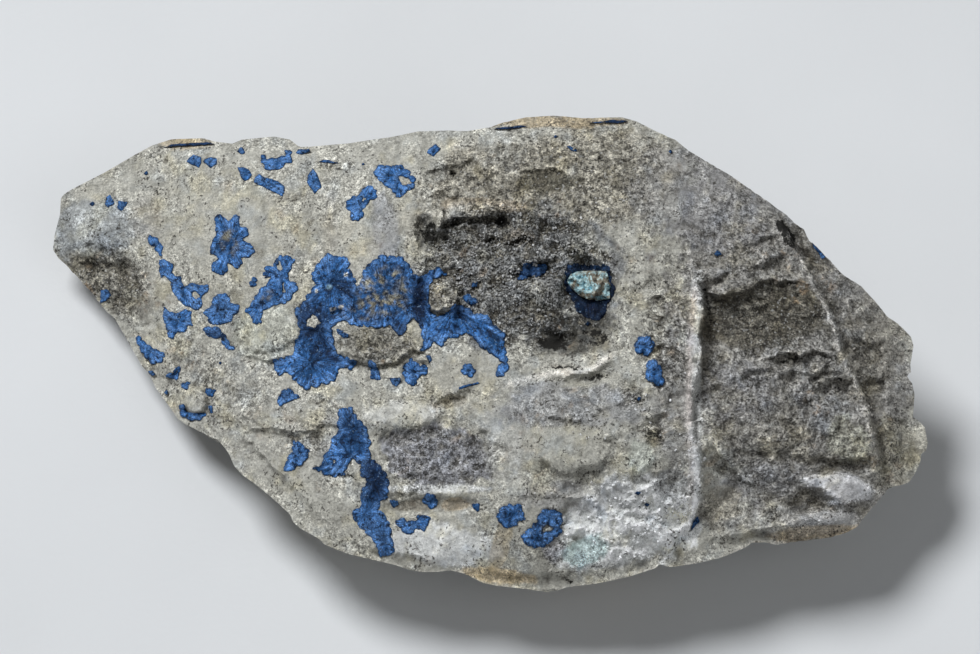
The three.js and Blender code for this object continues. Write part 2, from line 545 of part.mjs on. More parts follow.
// The origin is the middle of the base of the whole specimen's box.
const box = new THREE.Box3().setFromObject(specimen);
specimen.position.set(-(box.min.x + box.max.x) / 2, -(box.min.y + box.max.y) / 2, 0);

export default specimen;
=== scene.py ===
import functools
import itertools
import math

import bpy
import numpy as np
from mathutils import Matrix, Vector
from mathutils.bvhtree import BVHTree
from mathutils.geometry import delaunay_2d_cdt


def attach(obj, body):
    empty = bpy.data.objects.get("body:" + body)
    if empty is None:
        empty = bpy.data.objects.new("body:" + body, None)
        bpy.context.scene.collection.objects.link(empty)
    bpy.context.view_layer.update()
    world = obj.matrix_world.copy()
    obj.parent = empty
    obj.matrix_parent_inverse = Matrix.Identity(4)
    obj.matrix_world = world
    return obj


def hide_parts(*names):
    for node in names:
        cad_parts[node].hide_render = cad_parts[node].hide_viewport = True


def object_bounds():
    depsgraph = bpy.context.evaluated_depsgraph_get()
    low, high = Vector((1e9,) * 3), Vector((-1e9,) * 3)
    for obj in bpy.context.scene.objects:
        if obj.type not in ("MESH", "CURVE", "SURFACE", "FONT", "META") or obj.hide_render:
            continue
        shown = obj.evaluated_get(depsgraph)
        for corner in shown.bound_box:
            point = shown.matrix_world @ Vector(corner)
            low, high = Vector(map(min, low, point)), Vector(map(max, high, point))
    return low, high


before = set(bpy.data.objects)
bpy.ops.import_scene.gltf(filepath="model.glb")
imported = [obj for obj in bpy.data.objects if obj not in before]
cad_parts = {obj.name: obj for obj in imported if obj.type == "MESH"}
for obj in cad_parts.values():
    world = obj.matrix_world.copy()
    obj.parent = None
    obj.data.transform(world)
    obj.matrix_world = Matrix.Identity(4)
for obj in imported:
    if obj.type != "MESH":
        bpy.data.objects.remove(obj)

bl_info = {
    "name": "Cornetite specimen",
    "version": (1, 0, 0),
    "blender": (4, 5, 0),
    "location": "View3D > Sidebar > Specimen",
    "description": "Builds a stone with its cornetite crusts, and a plain studio round it",
    "category": "Add Mesh",
}

CAD_BOX = [list(corner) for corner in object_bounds()]

# The display face is described in face coordinates, in millimetres: u to the right and v up the face, square
# to a line of sight that leans LEAN forward from the vertical. Meshes are made in metres.
MM = 0.001
LEAN = math.radians(24)
SIN_LEAN = math.sin(LEAN)
COS_LEAN = math.cos(LEAN)
FACE_ORIGIN_X = 0.153
FACE_ORIGIN_Y = 6.586
HALF_LENGTH = 55
HALF_WIDTH = 29.5

# The stone's outline, square to the line of sight, anticlockwise from the left tip.
STONE_OUTLINE = [
    (-54.95, 13.1), (-54.3, 12.05), (-52, 9.85), (-50.2, 7.7), (-48.3, 5.4), (-47.15, 4.4), (-45.8, 2.15),
    (-44.5, -0.15), (-43.7, -1.5), (-42.7, -2.65), (-42, -4.2), (-40, -6.9), (-39.1, -8.2), (-38, -8.9),
    (-35.3, -10.2), (-34, -10.8), (-33.3, -11.6), (-32.6, -12.6), (-32, -14), (-31, -15.1), (-29.5, -16.15),
    (-27.5, -17.75), (-25, -20), (-24.6, -20.95), (-23.8, -21.7), (-21.3, -23.1), (-20.7, -23.75),
    (-19.4, -24.3), (-17.5, -25), (-13.6, -25.9), (-11.7, -26.35), (-10.15, -26.9), (-8.6, -27.2),
    (-6.7, -27.2), (-4.95, -27), (-3.2, -27.4), (-0.85, -28.55), (0.7, -28.9), (4.5, -29.3), (7.2, -29.7),
    (8.4, -29.5), (9.5, -29.1), (13.4, -28.6), (17.2, -27.8), (20.7, -26.7), (21.3, -26.25), (22.4, -26.6),
    (25.9, -26.1), (28.9, -25.4), (31.8, -24.2), (32.7, -23.55), (34.3, -23.5), (35.6, -23.8), (38.9, -23.4),
    (42.5, -22.9), (44.5, -22.3), (46, -21.5), (46.4, -20.8), (48.4, -18.5), (49.3, -17.5), (49.85, -16.6),
    (51.2, -16.45), (52.4, -16.05), (53.2, -14.8), (53.8, -13.5), (53.9, -12.5), (54.55, -12.1),
    (54.75, -11.15), (54.4, -9.2), (53.7, -8.4), (52.9, -7.9), (53.15, -5), (52.8, -3.6), (52.15, -2.65),
    (52.7, -2.3), (52.6, -1.3), (53, 1), (52.7, 2.15), (51, 3.9), (49.85, 4.65), (48.1, 6.7), (46.4, 8.6),
    (44, 10.1), (42.7, 11.6), (41, 13.2), (39.95, 14.2), (39.3, 15.7), (38.3, 16.3), (37.15, 17.4),
    (35.2, 18.8), (33.1, 20.3), (30, 22.4), (27.15, 24.1), (24.9, 25.4), (23.2, 26.8), (20.7, 27.9),
    (18.4, 29.1), (16.5, 29.65), (13.4, 29.6), (11.5, 29.55), (8, 29.85), (4.5, 29.65), (2, 29.1),
    (-0.1, 28.4), (-2.85, 27.9), (-5.3, 28), (-9, 27.9), (-12.1, 27.25), (-17.85, 26.4), (-22.5, 26),
    (-23.9, 25.95), (-25.05, 26.9), (-27.1, 27.3), (-31.2, 26.9), (-32.35, 26.4), (-34.65, 26.7),
    (-36, 27.1), (-40, 27), (-42.5, 26.2), (-44.9, 24.9), (-48.3, 22.9), (-50, 22.05), (-52.8, 20.6),
    (-53.7, 20), (-54, 19.5), (-54.1, 17.5), (-54.75, 15),
]

# How finely the stone is meshed: cells along and across its face, and rows down its sides.
FACE_CELLS_ALONG = 376
FACE_CELLS_ACROSS = 196
FINE_SIDE_ROWS = 7
MIDDLE_SIDE_ROWS = 7
COARSE_SIDE_ROWS = 4

# The stone's underside, the angle that counts as a sharp break, how its face is held within the plain model,
# and how far the painted shade reaches from the foot of a drop.
BASE_CENTRE = (0.153, -2.4)
BASE_EDGE_RISE = 2.6
BREAK_ANGLE = math.radians(34)
SUMMIT = 26.0
SUMMIT_ROOM = 0.8
BOX_MARGIN = 0.03
SHADE_STAIN_REACH = 0.38

# How finely the crusts are meshed, and how they lie on the stone.
CRUST_CELL = 0.17
OUTLINE_STEP = 0.16
LOBE_WIDTH = 1.1
LOBE_DEPTH = 0.38
PETAL_LOBE_DEPTH = 0.14
SMALL_LOBE_WIDTH = 0.45
SMALL_LOBE_DEPTH = 0.11
BED_DEPTH = 0.22
CRUST_FOOT = 0.3

# Colours of the stone, as it looks in even light.
BUFF = (0.475, 0.463, 0.41)
CREAM = (0.50, 0.48, 0.41)
WHITE = (0.86, 0.87, 0.86)
WARM_GREY = (0.46, 0.445, 0.41)
COOL_GREY = (0.40, 0.405, 0.415)
LILAC_GREY = (0.42, 0.42, 0.44)
BROWN = (0.36, 0.335, 0.28)
DARK_BROWN = (0.21, 0.195, 0.16)
OCHRE = (0.56, 0.42, 0.23)
RUST = (0.33, 0.215, 0.115)
PALE_GREEN = (0.60, 0.645, 0.575)
# The next two darken hollows: the first is painted shade mixed with dirt, the second is near-black painted
# shadow.
DIRT_AND_SHADE = (0.15, 0.135, 0.105)
SHADOW_BLACK = (0.014, 0.013, 0.011)
TURQUOISE_STAIN = (0.42, 0.60, 0.60)


def line(name, drop, reach, points, lip=0.22, shade_stain=0.0):
    """A ledge or crack drawn along the face, with the strength of the painted shade at its foot or bottom. A
    ledge is low on the left of its direction.
    """
    return {"name": name, "drop": drop, "reach": reach, "points": points, "lip": lip, "shade_stain": shade_stain}


# Ledges: the face drops on the left of each line and comes back up over its reach, with painted shade at the
# foot.
LEDGES = [
    line("left bulge foot", 0.4, 2.2, [
        (-43.9, 13), (-45, 12.5), (-47, 11.3), (-48.5, 11.4), (-50, 12), (-52, 12.7), (-54.5, 13),
    ], shade_stain=0.12),
    line("left step", 0.5, 1.6, [(-41.6, 17.3), (-41.4, 19), (-41.6, 21.4)], shade_stain=0.25),
    line("cream stripe edge", 0.55, 1.8, [(-18.6, 11.8), (-18.9, 14), (-18.6, 16.5)], shade_stain=0.3),
    line("greenish flake foot", 0.7, 1.5, [
        (-24.6, -0.4), (-26.5, -0.4), (-28.2, -0.8), (-30.8, 0), (-32, 0.4),
    ], shade_stain=0.4),
    line("plateau lower edge", 0.8, 2.5, [
        (-19.6, -9.2), (-22, -9.6), (-26, -9.4), (-29.9, -9.5), (-30, -7),
    ], shade_stain=0.3),
    line("lower left rim facet", 0.9, 3.2, [
        (-19, -22.5), (-23, -18.5), (-26.5, -14.5), (-29, -12), (-32.5, -9.5),
    ], shade_stain=0.1),
    line("white bulge foot", 0.2, 1.2, [(-6.5, -8.9), (-9, -9.6), (-12, -9.1), (-15, -9.4)], shade_stain=0.3),
    line("white bulge head", 0.4, 1.0, [(-12.3, -6.3), (-13.6, -6.9), (-15, -7.1)], shade_stain=0.35),
    line("buff plane edge", 0.7, 1.6, [(-1.8, -3.9), (-4, -4.7), (-5, -5.2), (-6.6, -6.3)], shade_stain=0.45),
    line("white lip foot", 0.5, 1.2, [(-2.6, -17.3), (-5, -17.9), (-9, -17.4), (-13, -17.1)], shade_stain=0.3),
    line("brown flake foot", 0.7, 1.2, [
        (-8.9, 0.2), (-9.8, -0.4), (-10.9, -1.6), (-11.3, -3), (-13.5, -2.9), (-13.9, -1.8), (-15, -0.7),
        (-19.2, -0.1),
    ], shade_stain=0.7),
    line("cavity roof", 0.9, 2.4, [
        (3.2, 16), (1.5, 17.1), (-1, 17.4), (-4, 17.2), (-6, 16.4), (-8.6, 17.6),
    ], shade_stain=0.4),
    line("overhang", 0.9, 1.6, [(9.7, 21.6), (9.2, 22.6), (8, 23.1), (5, 22.9), (2.6, 22.8)], shade_stain=0.7),
    line("upper middle ridge", 0.8, 2.2, [(15.2, 21.8), (16.3, 19), (16.9, 17.2)], shade_stain=0.35),
    line("pale ridge foot", 0.6, 1.2, [
        (16, -0.2), (14.9, -1.2), (13, -2.2), (11, -2.5), (8.6, -2.8),
    ], shade_stain=0.7),
    line("cream patch foot", 1.0, 2.0, [
        (15, -11.8), (13.2, -13.8), (10, -14.7), (8, -14.3), (5.8, -13),
    ], shade_stain=0.6),
    line("lower crease", 0.6, 1.6, [(14.2, -18.5), (9, -18), (6, -17.7), (2.3, -17)], shade_stain=0.3),
    line("druse step", 0.7, 1.8, [(14.6, 11.6), (12, 12.4), (9, 12.3), (6.8, 11.4), (4, 11.3)], shade_stain=0.7),
    line("upper fold", 0.9, 2.6, [(-1, 24.8), (-3.4, 23.6), (-6.6, 23.4), (-8.8, 22)], shade_stain=0.35),
    line("quartz step", 0.9, 2.0, [(24, -15.4), (20.6, -15.8), (17, -15.1), (14.4, -16)], shade_stain=0.35),
    line("right lower rim", 1.2, 3.0, [
        (45.8, -20.4), (40, -20.9), (35, -21.6), (29, -22.8), (26.3, -23.4),
    ], shade_stain=0.15),
    line("near lower rim", 0.7, 2.6, [
        (22, -24.6), (16, -26), (9, -27.2), (3, -27.4), (-2.4, -26.8),
    ], shade_stain=0.25),
    line("near left rim", 0.5, 2.4, [(-5, -25.6), (-11, -25), (-16.5, -23.6), (-20, -21.9)], shade_stain=0.12),
]

# Cracks: narrow grooves with painted shade along their bottoms. One of negative depth is a raised seam.
CRACKS = [
    line("pale ridge", -0.6, 0.5, [(6, -2.7), (9, -2.3), (11.5, -2), (13, -1.6), (14.5, -0.6), (15.8, 0.2)]),
    line("left crack", 0.5, 0.25, [(-40.3, 24.9), (-40.5, 24.2), (-40.8, 23.8)], shade_stain=0.7),
    line("left upright crack", 0.3, 0.14, [(-41.4, 22.2), (-41.6, 20.4), (-41.4, 18.2)], shade_stain=0.6),
    line("stripe crack", 0.25, 0.14, [(-18.8, 16.8), (-18.9, 14.5), (-18.7, 12.2)], shade_stain=0.7),
    line("left crease", 0.4, 0.3, [(-45, 3.5), (-43.4, 3.6), (-42, 4)], shade_stain=0.4),
    line("lower left crack", 0.55, 0.28, [
        (-22, -14), (-20.5, -15), (-19.9, -15.8), (-19.2, -15.4), (-16.5, -15.1),
    ], shade_stain=0.75),
    line("middle crack", 0.4, 0.2, [
        (7.3, -1.6), (8.4, -1.95), (9.6, -1.6), (10.7, -1.85), (11.9, -1.6),
    ], shade_stain=0.9),
    line("edge crack", 0.6, 0.3, [(8.6, -27.6), (9.4, -28.2), (10.1, -28.9)], shade_stain=0.8),
    line("brown arc", 0.8, 0.9, [(18, 7), (20, 8.7), (23, 9.2), (25, 8)], shade_stain=0.4),
]


def fold(name, points, shade_stain=0.0):
    """A line where broken flats meet. Each point has its height over the broad form, and where the face drops
    beside the line, on the left of its direction, the height at the foot of the drop. The last number is the
    strength of the painted shade at that foot."""
    return {"name": name, "points": points, "shade_stain": shade_stain}


FOLDS = [
    fold("vein", [
        (25.6, 9.6, 0.4), (26.4, 7.6, 0.9, -2.0), (26.7, 5, 0.9, -2.0), (26.3, 2.4, 0.9, -1.8),
        (26.4, 0, 0.7, -1.4), (26.1, -2, 0.6, -1.0), (25.5, -4.6, 0.4, -1.0), (25.1, -6.5, 0.5, -1.0),
        (25.2, -10, 0.3, -0.8), (26.1, -12.5, 0.5, -0.4), (26.2, -15, 0.5, -0.3), (26.1, -18, 0.3, -0.5),
        (25.1, -21.2, 0.4, -0.4), (23.6, -23.3, 0.2, -0.3),
    ], shade_stain=0.35),
    fold("vein back", [(22.2, 9, 0), (21.4, 2, 0.3), (22.6, -6, 0.3), (21.4, -13, 0.2), (22.4, -20, 0)]),
    fold("vein ditch", [(28.4, 6.4, -1.8), (28.1, 3, -1.6), (27.5, 0, -1.3), (26.9, -4, -0.8)]),
    fold("concave face", [
        (40.1, 9.5, 0.6), (39, 9.0, 0.5, -0.1), (37.4, 9.3, 0.4, -0.4), (36, 8.9, 0.3, -0.5),
        (34.8, 9.5, 0.3, -0.4), (33.2, 8.7, 0.2, -0.5), (31.4, 7.7, 0.2, -0.7), (29.6, 7.2, 0, -1.0),
        (28.2, 7.2, -0.4),
    ], shade_stain=0.4),
    fold("concave floor", [(29.5, 4, -1.8), (32, 4.6, -1.7), (35, 5.4, -1.4), (38, 5.6, -0.8)]),
    fold("concave rise", [
        (29, 1.6, -1.3), (32.5, 2, -1.2), (36, 2.2, -0.7), (39.6, 2.6, -0.1), (42, 3.9, 0.2),
    ]),
    fold("diagonal crest", [
        (35.7, 17.4, 0.2), (36.4, 16.3, 0.5), (37.6, 13.9, 0.9), (39.4, 11.1, 0.9), (40.3, 9.1, 0.7),
        (41.7, 6.5, 0.6), (42.8, 4.1, 0.8), (43.4, 2.9, 0.8), (43.5, 0.6, 0.7), (45, -2.3, 0.7),
        (46.6, -5.4, 0.7), (47.5, -9.8, 0.9), (47.9, -12.4, 0.8), (48, -14.5, 0.5), (48.6, -16.6, 0.2),
    ]),
    fold("crest foot", [
        (36.5, 17.2, -0.4), (37, 16, -0.9), (37.8, 14.7, -1.9), (38.4, 13.7, -2.2), (39.4, 12.3, -2.0),
        (40.3, 11, -1.5), (41.2, 8.6, -0.8), (42.8, 5.6, -0.5), (43.6, 4.2, -0.4), (44.3, 1.6, -0.6),
        (44.5, 0.2, -0.5), (46, -2.6, -0.7), (46.9, -4, -1.1), (48.1, -8, -0.9), (48.9, -11, -0.8),
        (49.4, -13, -0.7), (49.8, -15.4, -0.5),
    ]),
    fold("upper flat", [
        (36.5, 14.9, 0.6), (35.4, 14.9, 0.5, 0.1), (34, 14.6, 0.5, 0), (32.3, 13.6, 0.3, -0.1),
        (30, 13.4, 0),
    ], shade_stain=0.1),
    fold("pale corner", [(35.4, 12.8, 0.3), (36.6, 12.9, 0.6)]),
    fold("second flat", [
        (37.2, 12.4, 0.6), (36.5, 12.3, 0.6, 0.1), (35, 12, 0.5, -0.1), (33.5, 11.1, 0.4, 0),
        (30, 10.5, 0.3, 0),
    ], shade_stain=0.1),
    fold("notch", [(29.6, 14.9, -0.5), (29, 12, -0.2)]),
    fold("shelf", [
        (43, 0.9, 0.4), (41.8, 0.1, 0.3, -0.7), (40.3, 0.6, 0.3, -0.9), (38.6, -0.1, 0.3, -1.2),
        (37.2, 0.4, 0.3, -1.5), (35.7, -0.2, 0.2, -1.1), (34.2, -0.7, 0),
    ], shade_stain=0.4),
    fold("tooth", [(42.6, -0.6, -0.1), (41.4, -1.8, 0.2, -0.6), (40, -3, 0.5, -0.5)], shade_stain=0.5),
    fold("dark hollow", [(36, -1, -1.1), (38, -1.4, -1.2), (39.4, -1.2, -0.8)]),
    fold("pale ledge", [(36, -2.1, 0.3), (34.5, -1.5, 0.5), (32.8, -2, 0.4, -0.3), (31, -2.7, 0.1)]),
    fold("hollow rim", [(45, -3.2, 0.15), (43.2, -2.9, 0.15, -0.9), (41, -3.6, 0.15)], shade_stain=0.6),
    fold("hollow floor", [(42, -4.6, -0.9), (43.4, -4.5, -1.0), (44.6, -4.6, -0.8)]),
    fold("hollow lip", [(40.2, -5.2, 0.2), (42, -6.1, 0.2), (44, -6.4, 0.2), (46, -6, 0.3)]),
    fold("triangle", [
        (39.4, -9.8, 0.1), (39.8, -8.6, 0.3, -0.6), (40.2, -7.4, 0.4, -0.6), (40.7, -6.5, 0.4),
        (41.5, -7.4, 0.5), (42.7, -8.7, 0.6),
    ], shade_stain=0.3),
    fold("bright flat", [
        (43.5, -9, 0.3), (46.7, -9, 0.7), (47.2, -11.8, 0.8), (44, -11.6, 0.5), (43.5, -9, 0.3),
    ]),
    fold("bright flat foot", [
        (47.5, -12.6, 0.6), (46.5, -12.8, 0.6, -0.7), (45, -13.1, 0.6, -0.8), (43.5, -13.1, 0.5, -0.8),
        (41.9, -12.9, 0.4, -0.5), (39.5, -12.4, 0),
    ], shade_stain=0.45),
    fold("white lobes", [
        (38.6, -15.4, 0.2), (41.5, -15, 0.4, -0.5), (43.8, -15.3, 0.4, -0.6), (45.6, -15.8, 0.4, -0.6),
        (47.2, -15.4, 0.2),
    ], shade_stain=0.3),
    fold("low crest", [
        (33.4, -17, 0.1), (31.8, -15.6, 0.3, -0.4), (30, -14, 0.4, -0.5), (28.6, -12, 0.4, -0.4),
        (27.3, -10.4, 0.3),
    ], shade_stain=0.1),
    fold("low hollow", [(27.4, -17.4, -0.6), (28, -19, -0.9), (30, -20.2, -0.4)]),
    fold("middle flats", [
        (29.5, -5.5, -0.4), (33, -7, 0.2), (36.5, -5.4, -0.3), (38.4, -8, -0.4), (35.4, -10.6, 0.3),
        (31.4, -10, -0.3), (29.5, -5.5, -0.4),
    ]),
    fold("low flats", [(35.4, -10.6, 0.3), (37, -13.4, -0.3), (34.2, -14.4, 0.2), (35.2, -18.6, 0.1)]),
    fold("outer slab", [(42.5, 9.8, -0.9), (44.8, 7.4, -0.4), (47.4, 6.6, 0)]),
    fold("slab step", [(45.3, 7.1, -0.2), (45.3, 6.2, -0.2, -0.6), (45.1, 4.6, -0.2)], shade_stain=0.3),
    fold("slab smile", [
        (49.2, 2.1, 0.3), (48.3, 1.7, 0.3, -0.2), (47.4, 1.3, 0.4, -0.3), (46.2, 1.8, 0.3, -0.2),
        (44.9, 2.2, 0.2),
    ], shade_stain=0.25),
    fold("slab middle", [(46, -1, -0.4), (49, -1, -0.2), (51.4, -1, -0.3)]),
    fold("slab shelf", [(51, -2.4, -0.1), (48.6, -3, -0.1, -0.9), (47, -3, -0.15)], shade_stain=0.45),
    fold("slab end", [(49.4, -5.6, 0), (51, -5.5, 0.1), (52.4, -5, 0)]),
    fold("fan head", [(52.4, -7.8, 0), (51.2, -8, 0.1, -0.6), (49.7, -8.1, 0)], shade_stain=0.4),
    fold("fan", [(50.6, -10.4, -0.3), (51, -12, -0.1), (52.2, -14, -0.4)]),
]
FOLD_ANCHORS = [(24, 12.4), (26.5, 15.5), (27.5, 20), (32, 16.6), (26, -25.2), (22.5, -24.5)]
STEP_WIDTH = 0.35
FOLD_EDGE = 27
FOLD_STRENGTH = 1.15


def streak(name, colour, reach, strength, points):
    """A streak of colour along a drawn line: its half-width in millimetres and its strength."""
    return {"name": name, "colour": colour, "reach": reach, "strength": strength, "points": points}


STREAKS = [
    streak("diagonal crest", (0.74, 0.71, 0.66), 0.24, 0.95, [
        (35.9, 17.2), (36.9, 15), (39.0, 11.6), (41.2, 7.5), (43.0, 3.6), (43.6, 0.5), (45.4, -3),
        (47.1, -7.5), (48.3, -12), (48.5, -15),
    ]),
    streak("vein crest", (0.70, 0.64, 0.60), 0.45, 0.9, [
        (25.6, 9.6), (25.5, 6.5), (25.0, 2), (24.9, -3), (24.7, -8), (25.2, -13), (25.3, -17), (24.9, -21),
    ]),
    streak("concave face brow", (0.55, 0.53, 0.48), 0.25, 0.4, [
        (31.4, 8.7), (33.2, 9.6), (34.6, 10.2), (36.8, 9.4), (39.6, 9.8),
    ]),
    streak("low crest", (0.66, 0.65, 0.61), 0.35, 0.6, [
        (27.6, -10.4), (28.9, -11.9), (30.3, -13.8), (32, -15.3),
    ]),
    streak("pale ridge", (0.86, 0.82, 0.74), 0.36, 0.95, [
        (1.5, -4), (4, -3.3), (6.3, -2.7), (9, -2.3), (11.5, -2), (13.2, -1.6), (14.5, -0.5), (15.8, 0.2),
    ]),
    streak("cavity brow", (0.74, 0.71, 0.62), 0.5, 0.7, [
        (1.4, 17.9), (-1.2, 18.3), (-4, 18.1), (-6.2, 17.2), (-8.6, 18.4),
    ]),
    streak("white vein", (0.94, 0.94, 0.93), 0.55, 1.0, [
        (25.0, -8.5), (25.6, -12.5), (25.7, -15), (25.6, -18), (24.8, -20.8), (23.4, -22.8),
    ]),
    streak("cream stripe shade", (0.36, 0.33, 0.27), 0.7, 0.5, [(-20.6, 17.8), (-20.2, 14), (-19.8, 11.2)]),
    streak("grey stripe west edge", (0.40, 0.39, 0.37), 0.5, 0.5, [
        (-14.6, 19), (-14.3, 15), (-14.6, 12.2),
    ]),
    streak("grey stripe east edge", (0.42, 0.41, 0.38), 0.45, 0.5, [
        (-11.8, 18.6), (-11.6, 15), (-11.9, 12.4),
    ]),
]


def spot(name, depth, centre, size, turn=0.0, edge=0.6, shade_stain=0.0):
    """A lump, or with a negative depth a hollow: centre and half-sizes in millimetres, turn in degrees, and
    the strength of the painted shade in it.
    """
    return {"name": name, "depth": depth, "centre": centre, "size": size, "turn": turn, "edge": edge,
            "shade_stain": shade_stain}


LUMPS = [
    spot("left bulge", 0.9, (-49.5, 15.5), (4.6, 2.6), 8, 0.9),
    spot("brown zone hollow", -0.35, (-48.5, 9), (4.5, 2.2), -38, 0.9, 0.05),
    spot("greenish flake", 0.8, (-27.6, 3.2), (3.3, 2.7), 12, 0.15),
    spot("plateau", 0.5, (-24.5, -7.8), (4.6, 1.6), 0, 0.4),
    spot("pale nodule", 1.2, (-37, -5.8), (1.9, 1.5), -10, 0.2),
    spot("nodule by the crescent", 0.8, (-40.2, -1.5), (1.1, 0.9), 0, 0.2),
    spot("brown flake", 1.1, (-14, 1.1), (4.9, 2.4), 4, 0.12),
    spot("tan knob", 1.6, (-5.7, 7.3), (2.1, 2.2), 20, 0.2),
    spot("small tan lump", 0.8, (-8.3, -0.6), (0.6, 0.45), 0, 0.3),
    spot("crust island", 0.9, (-22.1, 4.1), (0.95, 0.85), 0, 0.3),
    spot("crust crumb one", 0.75, (-19.6, 5.6), (0.5, 0.28), 25, 0.3),
    spot("crust crumb two", 0.75, (-18.6, 5.9), (0.42, 0.3), 40, 0.3),
    spot("crust crumb three", 0.75, (-18, 9.9), (0.35, 0.3), 40, 0.3),
    spot("white bulge", 0.8, (-11, -7.7), (4.1, 1.3), 0, 0.5),
    spot("grey recess", -0.45, (-6.5, -12.8), (7.0, 3.4), -6, 0.25, 0.0),
    spot("ochre hollow", -0.5, (-7, -18.8), (5.2, 1.1), 3, 0.25, 0.0),
    spot("cavity left pit", -0.9, (-8.1, 15.3), (0.9, 2.0), 0, 0.45),
    spot("cavity arch left", -0.7, (-5.0, 16.3), (1.5, 0.42), 28, 0.45),
    spot("cavity arch", -0.7, (-2.2, 16.7), (2.1, 0.42), 0, 0.45),
    spot("cavity arch right", -0.8, (0.9, 16.7), (1.6, 1.1), -12, 0.45),
    spot("cavity floor pit", -1.0, (-6.3, 14.0), (1.0, 1.1), 0, 0.45),
    spot("cavity middle pit", -1.0, (0.4, 14.1), (1.3, 0.42), 0, 0.45),
    spot("cavity right pit", -1.0, (3.4, 14.1), (1.2, 0.42), 20, 0.45),
    spot("cavity tuft", 1.3, (-6.6, 16.7), (0.5, 1.4), -12, 0.3),
    spot("cavity shelf", 0.8, (-3.4, 14.9), (1.8, 0.6), -8, 0.3),
    spot("pin hole one", -0.9, (-4.3, 22.5), (0.35, 0.3), 0, 0.5, 0.8),
    spot("pin hole three", -0.9, (14.2, 24.5), (0.4, 0.4), 0, 0.5, 0.8),
    spot("black hole", -1.2, (8.1, 1.8), (1.9, 1.0), -8, 0.45),
    spot("dark rough hollow", -0.7, (12.2, 1.9), (2.2, 1.3), 0, 0.45),
    spot("hollow under ridge", -0.5, (13.2, -3.0), (2.4, 0.6), 8, 0.45),
    spot("pocket", -1.8, (12.4, 7.4), (3.1, 3.6), 0, 0.45),
    spot("niche", -1.1, (5.4, 10.4), (2.1, 0.9), 10, 0.4, 0.7),
    spot("druse bulge", 0.9, (7, 7.4), (2.4, 1.6), 0, 0.7),
    spot("cream patch", 0.6, (10, -11.8), (4.9, 2.6), -3, 0.4),
    spot("quartz lump one", 0.9, (15, -22), (3, 1.8), 10, 0.8),
    spot("quartz lump two", 1.0, (20, -20.5), (2.6, 2.2), -20, 0.8),
    spot("quartz lump three", 0.7, (22.5, -23), (2, 1.4), 10, 0.8),
    spot("chip", 0.9, (28.6, 8), (1.6, 1.5), 25, 0.3),
    spot("white lobe", 0.7, (43.6, -16.6), (4.0, 1.6), -8, 0.3),
    spot("lower white lobe", 0.7, (40.5, -21.2), (5.4, 1.3), 8, 0.5),
    spot("dark oval", -0.8, (39.8, -18.2), (2.5, 1.5), 8, 0.35, 0.3),
    spot("pale knob", 0.8, (53.8, -10.4), (0.9, 1.9), 0, 0.5),
    spot("dark triangle", -0.7, (-4.9, -6.0), (2.0, 0.6), 12, 0.3, 0.35),
]


def tone(name, colour, centre, size, turn=0.0, strength=0.8, edge=0.5):
    """A patch of colour: centre and half-sizes in face millimetres, turn in degrees."""
    return {"name": name, "colour": colour, "centre": centre, "size": size, "turn": turn,
            "strength": strength, "edge": edge}


